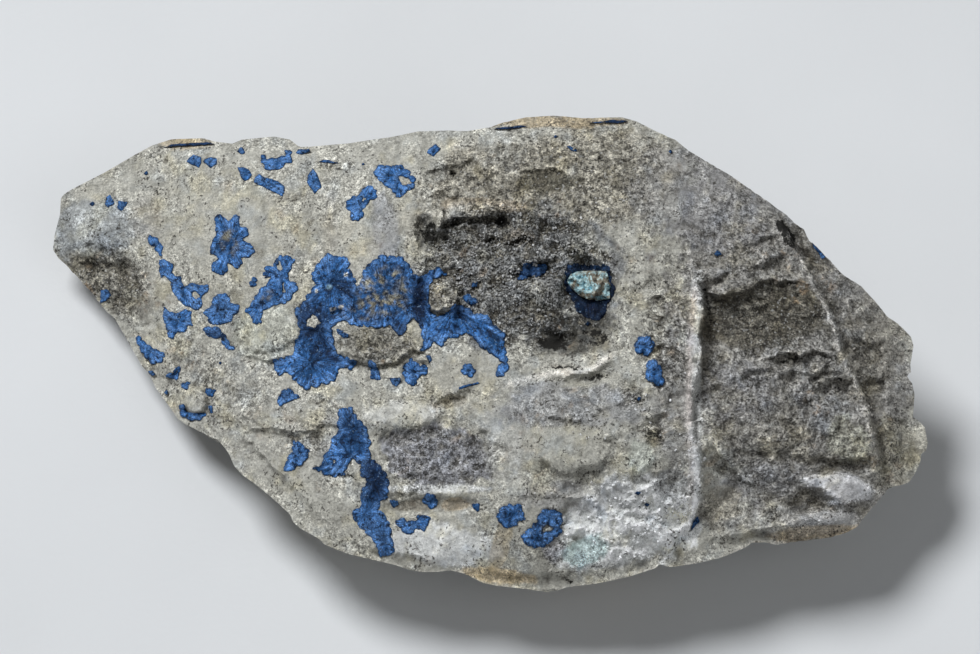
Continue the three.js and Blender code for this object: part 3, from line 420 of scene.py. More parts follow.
TONES = [
    tone("right half", (0.31, 0.30, 0.285), (38, 0), (13, 30), 18, 0.85, 0.35),
    tone("upper middle", (0.38, 0.355, 0.295), (8, 21), (16, 7), 6, 0.85, 0.5),
    tone("overhang shade", (0.11, 0.10, 0.07), (6.8, 21.6), (4.6, 1.4), 5, 0.8, 0.5),
    tone("middle druse", (0.18, 0.185, 0.19), (3, 10), (13, 8.5), 0, 0.85, 0.5),
    tone("left brown zone", (0.20, 0.19, 0.165), (-47.5, 9), (6.5, 3.2), -38, 0.8, 0.5),
    tone("left bulge", (0.36, 0.38, 0.39), (-49.6, 15.8), (5.2, 3.6), 8, 0.8),
    tone("left step shade", WARM_GREY, (-43, 16.8), (2, 2.6), 10, 0.55),
    tone("left middle cream", CREAM, (-33, 9), (6, 2.6), 10, 0.5, 0.7),
    tone("left middle green", (0.46, 0.465, 0.405), (-28, 2.8), (4, 3.4), 10, 0.7, 0.4),
    tone("cream stripe one", CREAM, (-17, 14.6), (1.7, 2.9), 6, 0.9, 0.3),
    tone("grey stripe", COOL_GREY, (-13, 15.5), (1.6, 4.4), 8, 0.75, 0.4),
    tone("cream stripe two", CREAM, (-10.3, 15.8), (1.1, 4.2), 4, 0.75, 0.4),
    tone("grey stripe west", WARM_GREY, (-19.8, 16.5), (0.7, 4.4), 4, 0.45, 0.5),
    tone("brown flake", (0.25, 0.24, 0.21), (-14, 1), (5.1, 2.7), 4, 0.9, 0.25),
    tone("tan knob", (0.33, 0.31, 0.26), (-5.7, 7.3), (2.3, 2.4), 20, 0.85, 0.25),
    tone("buff plane", CREAM, (-6, -2.4), (7, 2.2), 8, 0.3, 0.7),
    tone("lower left", (0.42, 0.41, 0.37), (-29, -9), (10, 6), -40, 0.6, 0.6),
    tone("grey lower patch", COOL_GREY, (-20, -11), (2.6, 3), 0, 0.35, 0.6),
    tone("white bulge", WHITE, (-11, -7.4), (4.4, 1.5), 0, 0.3, 0.4),
    tone("grey recess", (0.30, 0.305, 0.335), (-6.5, -12.9), (7.6, 3.6), -4, 0.85, 0.3),
    tone("dark triangle", BROWN, (-4.9, -6.1), (2.0, 0.6), 12, 0.8, 0.3),
    tone("white lip", WHITE, (-6, -16.8), (7, 0.5), 0, 0.75, 0.4),
    # Darker brown under the white lip: partly painted shadow.
    tone("brown hollow", (0.26, 0.235, 0.19), (-8.8, -18.9), (3.2, 0.8), 4, 0.8, 0.3),
    tone("tan hollow", (0.50, 0.40, 0.27), (-4.6, -18.8), (1.9, 0.8), 4, 0.7, 0.3),
    tone("pale lower bulge", (0.80, 0.805, 0.785), (-6.5, -23.6), (7.4, 2.8), -6, 1.0, 0.5),
    tone("pale column", (0.55, 0.545, 0.51), (1.6, -10.5), (2.6, 6), 6, 0.75, 0.6),
    tone("purple grit", (0.27, 0.26, 0.28), (8, -24.2), (1.6, 2.0), 10, 0.7, 0.6),
    tone("brown streaks", (0.40, 0.33, 0.22), (1.2, -24.2), (1.1, 3.4), -14, 0.6, 0.6),
    tone("olive hollow", (0.20, 0.18, 0.12), (20.6, -10.4), (1.2, 1.4), 20, 0.8, 0.5),
    tone("ochre undercut", OCHRE, (1, -27.6), (4.6, 1.0), -6, 0.6, 0.5),
    tone("cavity tuft", CREAM, (-6.6, 16.8), (0.5, 1.3), -12, 0.7, 0.4),
    tone("cavity rim", (0.50, 0.42, 0.31), (-1, 18.6), (5.5, 0.9), -3, 0.6, 0.5),
    tone("cavity floor", (0.42, 0.36, 0.28), (3.6, 14.6), (2.2, 0.9), 0, 0.6, 0.5),
    # Painted shadow in the cavity, dark brown.
    tone("cavity soot right", DARK_BROWN, (2.6, 14.2), (3, 2), -20, 0.5, 0.6),
    tone("druse dark", (0.055, 0.055, 0.052), (10.2, 2.7), (5.8, 2.8), 0, 0.85, 0.6),
    tone("dark rough", DARK_BROWN, (12.6, 1.4), (2.8, 1.8), 0, 0.75, 0.5),
    tone("pale middle", (0.29, 0.295, 0.31), (10, -6.5), (10, 2.8), 0, 0.65, 0.6),
    tone("cream patch", (0.44, 0.43, 0.38), (10, -11.6), (5.2, 2.9), -3, 0.9, 0.2),
    tone("quartz white", (0.94, 0.95, 0.93), (18, -20.5), (8.6, 5.8), 6, 1.0, 0.35),
    tone("quartz white low", WHITE, (15, -25), (7, 1.8), 6, 0.8, 0.5),
    tone("quartz cool", LILAC_GREY, (12, -17.8), (8, 1.8), 0, 0.4, 0.6),
    tone("speckle patch", COOL_GREY, (22.6, -16.2), (2.4, 2), 0, 0.6, 0.5),
    tone("vein", WHITE, (25.6, -7), (0.8, 15), 0, 0.75, 0.5),
    tone("vein top", WHITE, (25.8, 7), (1.0, 3.6), -6, 0.6, 0.5),
    tone("vein flank", (0.25, 0.245, 0.24), (22.6, -5.5), (2.4, 9), 0, 0.7, 0.6),
    tone("upper right plane", (0.28, 0.28, 0.295), (26, 19), (9, 6), -25, 0.45, 0.6),
    # The dark face and its core: darker rock, with painted shade because the face turns away from the light.
    tone("dark face", (0.118, 0.11, 0.09), (34.5, 4.8), (8.0, 4.4), 10, 0.9, 0.35),
    tone("dark face core", DARK_BROWN, (30.5, 4.4), (3.4, 3.8), 0, 0.55, 0.6),
    tone("right middle", (0.31, 0.31, 0.32), (31, -5), (5, 4), 0, 0.6, 0.6),
    tone("right middle brown", BROWN, (36, -10), (5, 3.4), -20, 0.3, 0.6),
    tone("right pale facet", (0.38, 0.38, 0.38), (41, -6.6), (2.6, 3.6), 20, 0.5, 0.4),
    tone("right low grey", (0.32, 0.32, 0.33), (34, -16), (6, 2.8), 8, 0.5, 0.6),
    tone("olive facet", (0.46, 0.455, 0.385), (44.8, -10.6), (2.9, 2.6), -8, 0.8, 0.25),
    tone("white lobe", (0.74, 0.735, 0.74), (43.4, -16.7), (4.6, 1.9), -8, 1.0, 0.15),
    tone("lower white lobe", (0.55, 0.545, 0.54), (40.5, -21.2), (5.6, 1.5), 8, 0.7, 0.4),
    tone("dark oval", (0.13, 0.12, 0.10), (39.8, -18.2), (2.6, 1.6), 8, 0.85, 0.3),
    tone("brown zone right", BROWN, (28.8, -19.5), (2.6, 3), 0, 0.8, 0.5),
    tone("tan rim", OCHRE, (41, -22.3), (6, 0.9), 4, 0.45, 0.5),
    tone("pale right rim", (0.40, 0.39, 0.37), (35, -20.6), (7, 1.6), 6, 0.45, 0.6),
    tone("outer slab", BROWN, (48, 2), (4, 7), -20, 0.5, 0.6),
    tone("crest shade", (0.17, 0.16, 0.14), (40.2, 13.2), (1.2, 4.6), 34, 0.75, 0.4),
    tone("crest shade low", (0.22, 0.21, 0.185), (47.2, -2.2), (1.2, 5), 18, 0.6, 0.5),
    tone("fibrous fan", (0.33, 0.315, 0.26), (51, -12.4), (3.2, 4.4), 0, 0.8, 0.5),
    tone("pale knob", CREAM, (54, -10.4), (1.2, 2.2), 0, 0.7, 0.4),
    tone("top rim tan", OCHRE, (8, 29.1), (9, 0.8), 0, 0.55, 0.4),
    tone("left top rim tan", OCHRE, (-38.5, 26.4), (3.4, 0.7), 0, 0.5, 0.4),
    tone("turquoise stain", TURQUOISE_STAIN, (11.9, -24.6), (2.6, 1.9), 10, 0.6, 0.6),
    tone("green tint", PALE_GREEN, (18.6, -13), (1.8, 2.2), 0, 0.5, 0.5),
]


# ---- numbers that repeat exactly from run to run

def cell_random(cells, seed):
    """A random number from 0 to 1 for each whole-numbered cell (rows of three)."""
    x, y, z = cells.astype(np.int64).T
    code = (x * 374761393 + y * 668265263 + z * 2147483647 + seed * 1442695041) & 0xFFFFFFFF
    code = ((code ^ (code >> 13)) * 1274126177) & 0xFFFFFFFF
    return ((code ^ (code >> 16)) & 0xFFFFFF) / 0xFFFFFF


def smooth_noise(points, seed):
    """Soft bumps from -1 to 1, one to each unit cube."""
    corner = np.floor(points)
    share = points - corner
    share = share * share * (3 - 2 * share)
    total = np.zeros(len(points))
    for step in itertools.product((0, 1), repeat=3):
        weight = np.prod(np.where(np.array(step) == 1, share, 1 - share), axis=1)
        total += weight * cell_random(corner + step, seed)
    return 2 * total - 1


def turned(points, layer):
    """The points turned about two axes, so that no layer of noise lines up with the last."""
    angle = 0.7 + 1.9 * layer
    cos, sin = math.cos(angle), math.sin(angle)
    x, y, z = points.T
    x, y = x * cos - y * sin, x * sin + y * cos
    y, z = y * cos - z * sin, y * sin + z * cos
    return np.stack([x, y, z], axis=1)


def layered_noise(points, size, layers, seed, fade=0.5):
    """Noise from -1 to 1. Its largest bumps are about the given size, and each layer is half the size of the
    last."""
    total = np.zeros(len(points))
    strength = 1.0
    whole = 0.0
    for layer in range(layers):
        total += strength * smooth_noise(turned(points, layer) / size, seed + layer)
        whole += strength
        strength *= fade
        size /= 2
    return total / whole


def chipped(points, size, seed, softness=0.07):
    """Broken flats, about -1 to 1: every cell is a tilted plane that meets the next at a crisp edge."""
    scaled = turned(points, seed % 5) / size
    home = np.floor(scaled)
    nearest = np.full(len(points), np.inf)
    flats = []
    for step in itertools.product((-1, 0, 1), repeat=3):
        cell = home + step
        seat = np.stack([cell_random(cell, seed + k) for k in (0, 1, 2)], axis=1)
        tilt = np.stack([cell_random(cell, seed + k) for k in (3, 4, 5)], axis=1) * 2 - 1
        away = scaled - cell - seat
        distance = np.sqrt((away ** 2).sum(axis=1))
        flats.append((distance, (away * tilt).sum(axis=1) + cell_random(cell, seed + 6) - 0.5))
        nearest = np.minimum(nearest, distance)
    total = np.zeros(len(points))
    weight = np.zeros(len(points))
    for distance, height in flats:
        share = np.exp(-(distance - nearest) / softness)
        total += share * height
        weight += share
    return total / weight


def terraced(points, size, seed, steps, layers=3):
    """Steps and flats, about -1 to 1: noise whose slopes are gathered into drops between level treads."""
    climb = steps * layered_noise(points, size, layers, seed)
    tread = np.floor(climb)
    return (tread + ease(0.82, 1.0, climb - tread)) / steps


def crested(points, size, layers, seed):
    """Sharp crests with rounded hollows between them, -1 to 1."""
    return 1 - 3 * np.abs(layered_noise(points, size, layers, seed))


def ease(low, high, value):
    """From 0 at low to 1 at high, eased at both ends."""
    share = np.clip((value - low) / (high - low), 0, 1)
    return share * share * (3 - 2 * share)


def face_points(u, v):
    """Positions on the face as points of a plane, for noise."""
    return np.stack([u, v, np.zeros(len(u))], axis=1)


def sideways(flat, reach, size, layers, seeds, fade=0.5):
    """Noisy shifts along u and along v, for ragged lines."""
    return [reach * layered_noise(flat, size, layers, seed, fade) for seed in seeds]


# ---- the face's relief

def near_line(u, v, points):
    """Distance to a drawn line, its side (1 on the left of its direction) and the share of it passed."""
    best = np.full(len(u), np.inf)
    side = np.zeros(len(u))
    along = np.zeros(len(u))
    lengths = [math.dist(a, b) for a, b in zip(points, points[1:])]
    passed = 0.0
    for (au, av), (bu, bv), length in zip(points, points[1:], lengths):
        eu, ev = bu - au, bv - av
        share = np.clip(((u - au) * eu + (v - av) * ev) / length ** 2, 0, 1)
        du, dv = u - au - share * eu, v - av - share * ev
        distance = np.hypot(du, dv)
        closer = distance < best
        best = np.where(closer, distance, best)
        side = np.where(closer, np.sign(eu * dv - ev * du), side)
        along = np.where(closer, (passed + share * length) / sum(lengths), along)
        passed += length
    return best, side, along


def around(u, v, points, margin):
    """Which positions lie in the box round some points, widened by a margin."""
    us, vs = zip(*points)
    return np.flatnonzero((u > min(us) - margin) & (u < max(us) + margin)
                          & (v > min(vs) - margin) & (v < max(vs) + margin))


def ellipse_reach(u, v, centre, size, turn):
    """1 on the ellipse, less inside it and more outside."""
    angle = math.radians(turn)
    du, dv = u - centre[0], v - centre[1]
    across = du * math.cos(angle) + dv * math.sin(angle)
    up = dv * math.cos(angle) - du * math.sin(angle)
    return np.hypot(across / size[0], up / size[1])


def foot_shade(distance, side):
    """How strong the painted shade is at the foot of a drop: on its low side, close to it."""
    return np.exp(-(distance / SHADE_STAIN_REACH) ** 2) * (side > 0)


@functools.cache
def fold_net():
    """The folds joined into a net of triangles: its places, its heights and the corners of each triangle."""
    places, heights, edges = [], [], []

    def add(spots, tops):
        first = len(places)
        places.extend(Vector(spot) for spot in spots)
        heights.extend(tops)
        edges.extend((first + k, first + k + 1) for k in range(len(spots) - 1))

    for crease in FOLDS:
        points = crease["points"]
        spots = np.array([point[:2] for point in points], dtype=float)
        add(spots, [point[2] for point in points])
        ahead = np.gradient(spots, axis=0)
        left = np.stack([-ahead[:, 1], ahead[:, 0]], axis=1) / np.hypot(*ahead.T)[:, None]
        dropping = [k for k, point in enumerate(points) if len(point) == 4]
        add([spots[k] + STEP_WIDTH * left[k] for k in dropping], [points[k][3] for k in dropping])
    for spot in FOLD_ANCHORS + [spot for spot in STONE_OUTLINE if spot[0] > FOLD_EDGE]:
        add([spot], [0])
    flat, net, triangles, origins, *_ = delaunay_2d_cdt(places, edges, [], 0, 1e-5)
    known = [heights[origin[0]] if origin else None for origin in origins]
    for k, height in enumerate(known):
        if height is None:
            beside = [known[end] for edge in net if k in edge for end in edge if known[end] is not None]
            known[k] = sum(beside) / max(len(beside), 1)
    return np.array([(place.x, place.y) for place in flat]), np.array(known), triangles


def fold_relief(u, v, relief, shade_stain, broken):
    """Adds the broken flats between the folds, and the painted shade at the feet of their drops."""
    flat, heights, triangles = fold_net()
    for triangle in triangles:
        (au, av), (bu, bv), (cu, cv) = flat[list(triangle)]
        here = around(u, v, flat[list(triangle)], 0)
        du, dv = u[here], v[here]
        area = (bu - au) * (cv - av) - (bv - av) * (cu - au)
        of_a = ((bu - du) * (cv - dv) - (bv - dv) * (cu - du)) / area
        of_b = ((cu - du) * (av - dv) - (cv - dv) * (au - du)) / area
        inside = (of_a >= 0) & (of_b >= 0) & (of_a + of_b < 1)
        at_a, at_b, at_c = heights[list(triangle)]
        height = of_a * at_a + of_b * at_b + (1 - of_a - of_b) * at_c
        relief[here[inside]] += FOLD_STRENGTH * height[inside]
    for crease in FOLDS:
        spots = [point[:2] for point in crease["points"]]
        here = around(u, v, spots, 2)
        distance, side, along = near_line(u[here], v[here], spots)
        shade = foot_shade(distance, side) * ease(0, 0.1, along) * ease(1, 0.9, along)
        shade_stain[here] = np.maximum(shade_stain[here], crease["shade_stain"] * shade * (0.8 + broken[here]))


def ledge_relief(u, v, relief, shade_stain, broken):
    """Adds the ledges, and the painted shade at their feet."""
    for ledge in LEDGES:
        here = around(u, v, ledge["points"], 4 * ledge["reach"])
        distance, side, along = near_line(u[here], v[here], ledge["points"])
        ends = ease(0, 0.2, along) * ease(1, 0.8, along) * (0.75 + 0.6 * broken[here])
        fall = (1 - np.exp(-distance / ledge["lip"])) * np.exp(-(distance / (1.5 * ledge["reach"])) ** 1.3)
        rise = 0.2 * np.exp(-distance / ledge["reach"])
        relief[here] += ledge["drop"] * ends * np.where(side > 0, -fall, rise)
        shade = foot_shade(distance, side) * np.clip(ends, 0, 1) * (0.55 + broken[here])
        shade_stain[here] = np.maximum(shade_stain[here], ledge["shade_stain"] * shade)


def crack_relief(u, v, relief, shade_stain):
    """Cuts the cracks, with painted shade along their bottoms."""
    for crack in CRACKS:
        here = around(u, v, crack["points"], 4 * crack["reach"])
        distance, _, along = near_line(u[here], v[here], crack["points"])
        groove = np.exp(-(distance / crack["reach"]) ** 2) * ease(0, 0.1, along) * ease(1, 0.9, along)
        relief[here] -= crack["drop"] * groove
        shade_stain[here] = np.maximum(shade_stain[here], crack["shade_stain"] * groove)


def lump_relief(u, v, relief, shade_stain, ragged):
    """Adds the lumps and hollows, with painted shade in some of the hollows."""
    for lump in LUMPS:
        here = around(u, v, [lump["centre"]], 1.9 * max(lump["size"]) + 1)
        reach = ellipse_reach(u[here], v[here], lump["centre"], lump["size"], lump["turn"])
        inside = 1 - ease(1 - lump["edge"], 1 + lump["edge"], reach + 0.5 * ragged[here])
        relief[here] += lump["depth"] * inside
        shade_stain[here] = np.maximum(shade_stain[here], lump["shade_stain"] * inside)


# Where the surface is rough, and how: middle, half-sizes, turn and strength of each zone.
ROUGH_ZONES = [
    ((3, 10), (14, 10), 0, 1.0),
    ((8, 21), (16, 8), 5, 0.6),
    ((36, 0), (16, 26), 15, 0.6),
    ((18, -20), (10, 7), 0, 0.8),
    ((22.4, 1), (3.6, 9), 0, 0.9),
    ((-6, -12.5), (9, 5), 0, 0.7),
    ((-48, 9), (6, 4), -38, 0.8),
    ((16, -7), (10, 6), 0, 0.55),
    ((-14, 1), (5, 3), 0, 0.6),
    ((-5.7, 7.3), (2.4, 2.4), 0, 0.8),
    ((-24, -9), (9, 6), -30, 0.4),
]
# Where the hollows are darkened, with dirt and painted shade, and dark grains show, the clean white places
# among them, and where painted shadow makes it near black.
GRIMY_ZONES = [
    ((3, 10), (14, 9), 0, 1.0),
    ((8, 21), (16, 8), 5, 0.6),
    ((37, -1), (14, 24), 15, 0.55),
    ((35, 4), (7, 5), 8, 0.8),
    ((-6, -12.5), (8, 4), 0, 0.6),
    ((-48, 9), (6, 4), -38, 0.8),
    ((-14, 1), (5, 3), 0, 0.7),
    ((-5.7, 7.3), (2.4, 2.4), 0, 0.8),
    ((-36, -3), (7, 4), -45, 0.4),
    ((-31, 21.6), (3.6, 0.7), -4, 0.7),
    ((-20, 23.7), (3.2, 0.7), 0, 0.7),
    ((-22.5, -11.5), (3.6, 1.6), 10, 0.6),
    ((9, -6.5), (5, 2.6), 0, 0.6),
    ((23, -16.4), (2.4, 1.9), 0, 0.8),
    ((8, -24.2), (1.8, 2.2), 10, 0.7),
    ((22.0, 2), (3.4, 8), 0, 0.7),
    ((20.4, -9.9), (1.8, 1.6), 0, 0.9),
    ((18, -5.4), (2.2, 1.4), 0, 0.8),
]
CLEAN_ZONES = [
    ((18, -21), (8.5, 6), 5, 0.8),
    ((10, -11.5), (6, 3.4), 0, 0.8),
    ((11, -7), (7, 3), 0, 0.5),
    ((25.4, -9), (1.0, 14), 0, 0.8),
    ((43.4, -16.7), (4.8, 2.0), -8, 1.0),
    ((-6.5, -23.8), (8, 3), -6, 0.9),
    ((-33, 16), (7, 6.5), 0, 0.7),
    ((-16, 14.5), (4.4, 4.4), 0, 0.7),
    ((-3, -2), (6, 2.6), 8, 0.8),
    ((-11, -7.6), (4.4, 1.5), 0, 0.9),
    ((-25, -15.5), (6, 2.6), -42, 0.7),
    ((1.6, -11), (2.8, 6), 6, 0.6),
    ((40.5, -21.2), (5.6, 1.6), 8, 0.8),
]
SHADOW_BLACK_ZONES = [
    ((-7.6, 15.2), (1.5, 2.2), 0, 0.85),
    ((-4.5, 16.4), (1.5, 0.8), 25, 0.85),
    ((-1.4, 16.8), (2.0, 0.6), 0, 0.9),
    ((1.3, 16.4), (1.3, 1.0), 0, 0.9),
    ((-3.0, 14.2), (1.0, 0.5), 0, 0.65),
    ((-0.2, 14.2), (0.8, 0.8), 0, 0.8),
    ((4.8, 14.4), (0.8, 0.5), 0, 0.8),
    ((3.0, 13.4), (0.8, 0.4), 0, 0.65),
    ((8.0, 1.6), (2.6, 1.5), -8, 1.15),
    ((12.6, 2.0), (3.2, 1.4), 0, 1.0),
    ((9.6, -1.7), (2.4, 0.35), 0, 0.8),
    ((13.6, -2.9), (2.0, 0.6), 12, 0.8),
    ((7.4, 4.8), (2.4, 0.5), -20, 0.65),
    ((12.4, 7.4), (3.2, 3.6), 0, 0.6),
    ((27.7, 5.4), (0.9, 3.0), 0, 0.7),
    ((37.2, 15.0), (1.0, 3.4), 32, 0.9),
    ((37.2, -0.7), (2.2, 0.7), 0, 0.75),
    ((43.2, -4.6), (2.0, 0.8), 0, 0.6),
    ((27.1, 8.1), (0.8, 0.8), 0, 0.7),
    ((18, -5.6), (1.0, 0.5), -20, 0.9),
    ((20.4, -9.8), (1.3, 0.9), 0, 0.6),
]
FAN_CENTRE = (51, -12.5)
FAN_SIZE = (3.6, 5)

# The face's broken flats, largest first: height, size, seed, how soft the edges between them are, the grain
# that they follow, and how much of them shows on smooth rock.
BROKEN_FLATS = [
    (0.55, 9, 101, 0.03, "even", 0.4),
    (0.62, 3.4, 121, 0.03, "layered", 0.12),
    (0.34, 1.7, 141, 0.03, "leaning", 0.14),
    (0.2, 0.9, 161, 0.04, "even", 0.3),
]
# Its short steps between level treads: height, size, seed, number of steps and grain.
BROKEN_STEPS = [
    (0.9, 6.0, 221, 5, "layered"),
    (0.5, 2.6, 241, 3, "leaning"),
]


def zoned(u, v, ragged, zones, least, core=0.7, rim=1.15, wander=0.5):
    """How strongly each position lies in the zones, fully within their core and never below the least."""
    strongest = np.full(len(u), least)
    for centre, size, turn, strength in zones:
        inside = 1 - ease(core, rim, ellipse_reach(u, v, centre, size, turn) + wander * ragged)
        strongest = np.maximum(strongest, strength * inside)
    return strongest


def grime_at(u, v):
    """How dirty the surface is, from about 0 on clean cleavage to 1 in the middle."""
    ragged = layered_noise(face_points(u, v), 2.2, 3, 61)
    return zoned(u, v, ragged, GRIMY_ZONES, 0.06) * (1 - zoned(u, v, ragged, CLEAN_ZONES, 0.0))


def drawn_relief(u, v, flat):
    """Relief and painted shade of everything drawn by name: ledges, folds, cracks and lumps."""
    relief = np.zeros(len(u))
    shade_stain = np.zeros(len(u))
    ragged = layered_noise(flat, 1.8, 4, 51, fade=0.65)
    broken = layered_noise(flat, 2.0, 3, 71)
    wander_u, wander_v = sideways(flat, 0.8, 2.6, 4, (11, 31), fade=0.62)
    fine_u, fine_v = sideways(flat, 0.5, 1.1, 4, (81, 91), fade=0.65)
    torn_u = 0.4 * wander_u + fine_u
    torn_v = 0.4 * wander_v + fine_v
    ledge_relief(u + wander_u, v + wander_v, relief, shade_stain, broken)
    fold_relief(u + torn_u, v + torn_v, relief, shade_stain, broken)
    crack_relief(u + wander_u, v + wander_v, relief, shade_stain)
    lump_relief(u + wander_u, v + wander_v, relief, shade_stain, ragged)
    # Painted shadow, near black, in the cavity, the holes and the gaps under ledges and beside the crest.
    painted_shadow = zoned(u, v, torn_u, SHADOW_BLACK_ZONES, 0.0, core=0.4) * (0.85 + 0.7 * layered_noise(flat, 1.0, 3, 291))
    return relief, np.maximum(shade_stain, painted_shadow), zoned(u, v, ragged, ROUGH_ZONES, 0.1)


def face_relief(u, v):
    """Relief of the face along the line of sight, how much painted shade each point has, and how rough it is.
    """
    flat = face_points(u, v)
    relief, shade_stain, rough = drawn_relief(u, v, flat)
    leaning = face_points(0.8 * u - 0.5 * v, 0.5 * u + 0.8 * v)
    grains = {"even": flat, "layered": flat * (0.6, 1.0, 1.0), "leaning": leaning * (0.5, 1.0, 1.0)}
    for height, size, seed, softness, grain, least in BROKEN_FLATS:
        relief += height * chipped(grains[grain], size, seed, softness) * (least + rough)
    for height, size, seed, steps, grain in BROKEN_STEPS:
        relief += height * terraced(grains[grain], size, seed, steps) * (0.08 + 0.7 * rough)
    relief += 0.14 * crested(flat, 1.3, 3, 261) * rough
    pits = np.clip(layered_noise(grains["layered"], 1.7, 3, 281) - 0.25, 0, 1)
    relief -= 1.2 * pits * rough
    cleavage = layered_noise(flat * (1.0, 0.18, 1.0), 1.4, 3, 181)
    relief += 0.22 * cleavage * (1 - np.minimum(rough, 1))
    fan = 1 - ease(0.6, 1.25, ellipse_reach(u, v, FAN_CENTRE, FAN_SIZE, 0))
    fibres = face_points(u + 0.02 * (v + 12) ** 2, 0.1 * v)
    relief += 0.8 * fan * layered_noise(fibres, 0.8, 3, 201)
    return relief, shade_stain, rough


def world_from_face(u, v, height):
    """Points of the specimen in millimetres, from face coordinates and the height above the base."""
    return np.stack([u + FACE_ORIGIN_X, (v - height * SIN_LEAN) / COS_LEAN + FACE_ORIGIN_Y, height], axis=1)


def tree_of(node):
    """The node's solid as a search tree, in metres."""
    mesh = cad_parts[node].data
    places = [vertex.co.copy() for vertex in mesh.vertices]
    return BVHTree.FromPolygons(places, [list(face.vertices) for face in mesh.polygons])


def blurred(grid, reach):
    """The grid blurred by about reach cells."""
    steps = np.arange(-3 * reach, 3 * reach + 1)
    weights = np.exp(-(steps ** 2) / (2.0 * reach ** 2))
    weights /= weights.sum()
    for axis in (0, 1):
        padded = np.apply_along_axis(lambda row: np.pad(row, 3 * reach, mode="edge"), axis, grid)
        grid = np.apply_along_axis(lambda row: np.convolve(row, weights, mode="valid"), axis, padded)
    return grid


class BroadForm:
    """Heights of the plain solid's face on a square grid, smoothed, for the fine stone to follow."""

    STEP = 1.0
    LOW_U, HIGH_U = -60, 60
    LOW_V, HIGH_V = -34, 34
    START = 80

    def __init__(self, tree):
        us = np.arange(self.LOW_U, self.HIGH_U + self.STEP, self.STEP)
        vs = np.arange(self.LOW_V, self.HIGH_V + self.STEP, self.STEP)
        heights = np.zeros((len(us), len(vs)))
        known = np.zeros((len(us), len(vs)))
        sight = Vector((0, SIN_LEAN, -COS_LEAN))
        for i, u in enumerate(us):
            starts = world_from_face(np.full(len(vs), u), vs, np.full(len(vs), self.START)) * MM
            for j, start in enumerate(starts):
                place, *_ = tree.ray_cast(Vector(start), sight)
                if place is not None:
                    heights[i, j] = place.z / MM
                    known[i, j] = 1
        filled = heights
        share = known
        for reach in (1, 2, 4):
            spread = blurred(known, reach)
            guess = blurred(heights, reach) / np.maximum(spread, 1e-9)
            fresh = (share == 0) & (spread > 1e-4)
            filled = np.where(fresh, guess, filled)
            share = np.where(fresh, 1, share)
        self.heights = blurred(filled, 1)

    def at(self, u, v):
        """The height at each position, read between the grid's own."""
        x = np.clip((u - self.LOW_U) / self.STEP, 0, self.heights.shape[0] - 1.001)
        y = np.clip((v - self.LOW_V) / self.STEP, 0, self.heights.shape[1] - 1.001)
        i, j = x.astype(int), y.astype(int)
        fx, fy = x - i, y - j
        rows = self.heights
        low = rows[i, j] * (1 - fx) + rows[i + 1, j] * fx
        high = rows[i, j + 1] * (1 - fx) + rows[i + 1, j + 1] * fx
        return low * (1 - fy) + high * fy


# ---- crusts: where they lie, read from their plain solids

def open_edges(rings):
    """The directed edges that only one of the rings has."""
    edges = {}
    for ring in rings:
        for start, end in zip(ring, ring[1:] + ring[:1]):
            if (end, start) in edges:
                del edges[(end, start)]
            elif start != end:
                edges[(start, end)] = True
    return list(edges)


def boundary_segments(node):
    """The outline of a crust's upper face, in face coordinates."""
    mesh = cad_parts[node].data
    sight = np.array([0, -SIN_LEAN, COS_LEAN])
    places = np.array([vertex.co for vertex in mesh.vertices]) / MM
    u = places[:, 0] - FACE_ORIGIN_X
    v = (places[:, 1] - FACE_ORIGIN_Y) * COS_LEAN + places[:, 2] * SIN_LEAN
    rings = []
    for face in mesh.polygons:
        a, b, c = (places[index] for index in face.vertices[:3])
        normal = np.cross(b - a, c - a)
        if normal @ sight > 0.05 * np.linalg.norm(normal):
            rings.append([(round(u[index], 3), round(v[index], 3)) for index in face.vertices])
    return np.array(open_edges(rings))


def wandered(points):
    """The points of a drawn outline moved a little, as the edge of a growth of small crystals wanders."""
    return points + np.stack(sideways(face_points(*points.T), 0.16, 0.8, 2, (301, 321)), axis=1)


def loops_of(segments):
    """The closed loops that the directed segments form, each a list of its corners in order."""
    following = {tuple(start): tuple(end) for start, end in segments.tolist()}
    loops = []
    while following:
        first = next(iter(following))
        loop = [first]
        place = following.pop(first)
        while place != first:
            loop.append(place)
            place = following.pop(place)
        loops.append(loop)
    return loops


def rounded(loop):
    """The loop with its corners cut, so that drawn petals turn round."""
    points = np.array(loop)
    after = np.roll(points, -1, axis=0)
    return np.stack([0.75 * points + 0.25 * after, 0.25 * points + 0.75 * after], axis=1).reshape(-1, 2)


def lobed(points, rng, width, depth):
    """A loop in short steps that swells into rounded lobes of about the given width, with notches between."""
    ends = np.vstack([points, points[:1]])
    lengths = np.hypot(*np.diff(ends, axis=0).T)
    reach = np.concatenate([[0], np.cumsum(lengths)])
    count = max(8, round(reach[-1] / OUTLINE_STEP))
    along = np.linspace(0, reach[-1], count, endpoint=False)
    spots = np.stack([np.interp(along, reach, ends[:, axis]) for axis in (0, 1)], axis=1)
    ahead = np.roll(spots, -1, axis=0) - np.roll(spots, 1, axis=0)
    outward = np.stack([ahead[:, 1], -ahead[:, 0]], axis=1) / np.maximum(np.hypot(*ahead.T), 1e-6)[:, None]
    number = max(3, round(reach[-1] / width))
    marks = np.sort((np.arange(number) + rng.uniform(-0.3, 0.3, number)) / number) * reach[-1]
    lobe = np.searchsorted(marks, along) % number
    start = marks[lobe - 1]
    length = (marks[lobe] - start) % reach[-1]
    share = ((along - start) % reach[-1]) / np.maximum(length, 1e-6)
    swell = np.sqrt(np.clip(1 - (2 * share - 1) ** 2, 0, 1)) - 0.6
    size = rng.uniform(0.4, 1.3, number)[lobe]
    return spots + outward * (depth * swell * size)[:, None]


def segments_of(loops):
    """Closed loops as straight segments, each a start and an end."""
    return np.concatenate([np.stack([loop, np.roll(loop, -1, axis=0)], axis=1) for loop in loops])


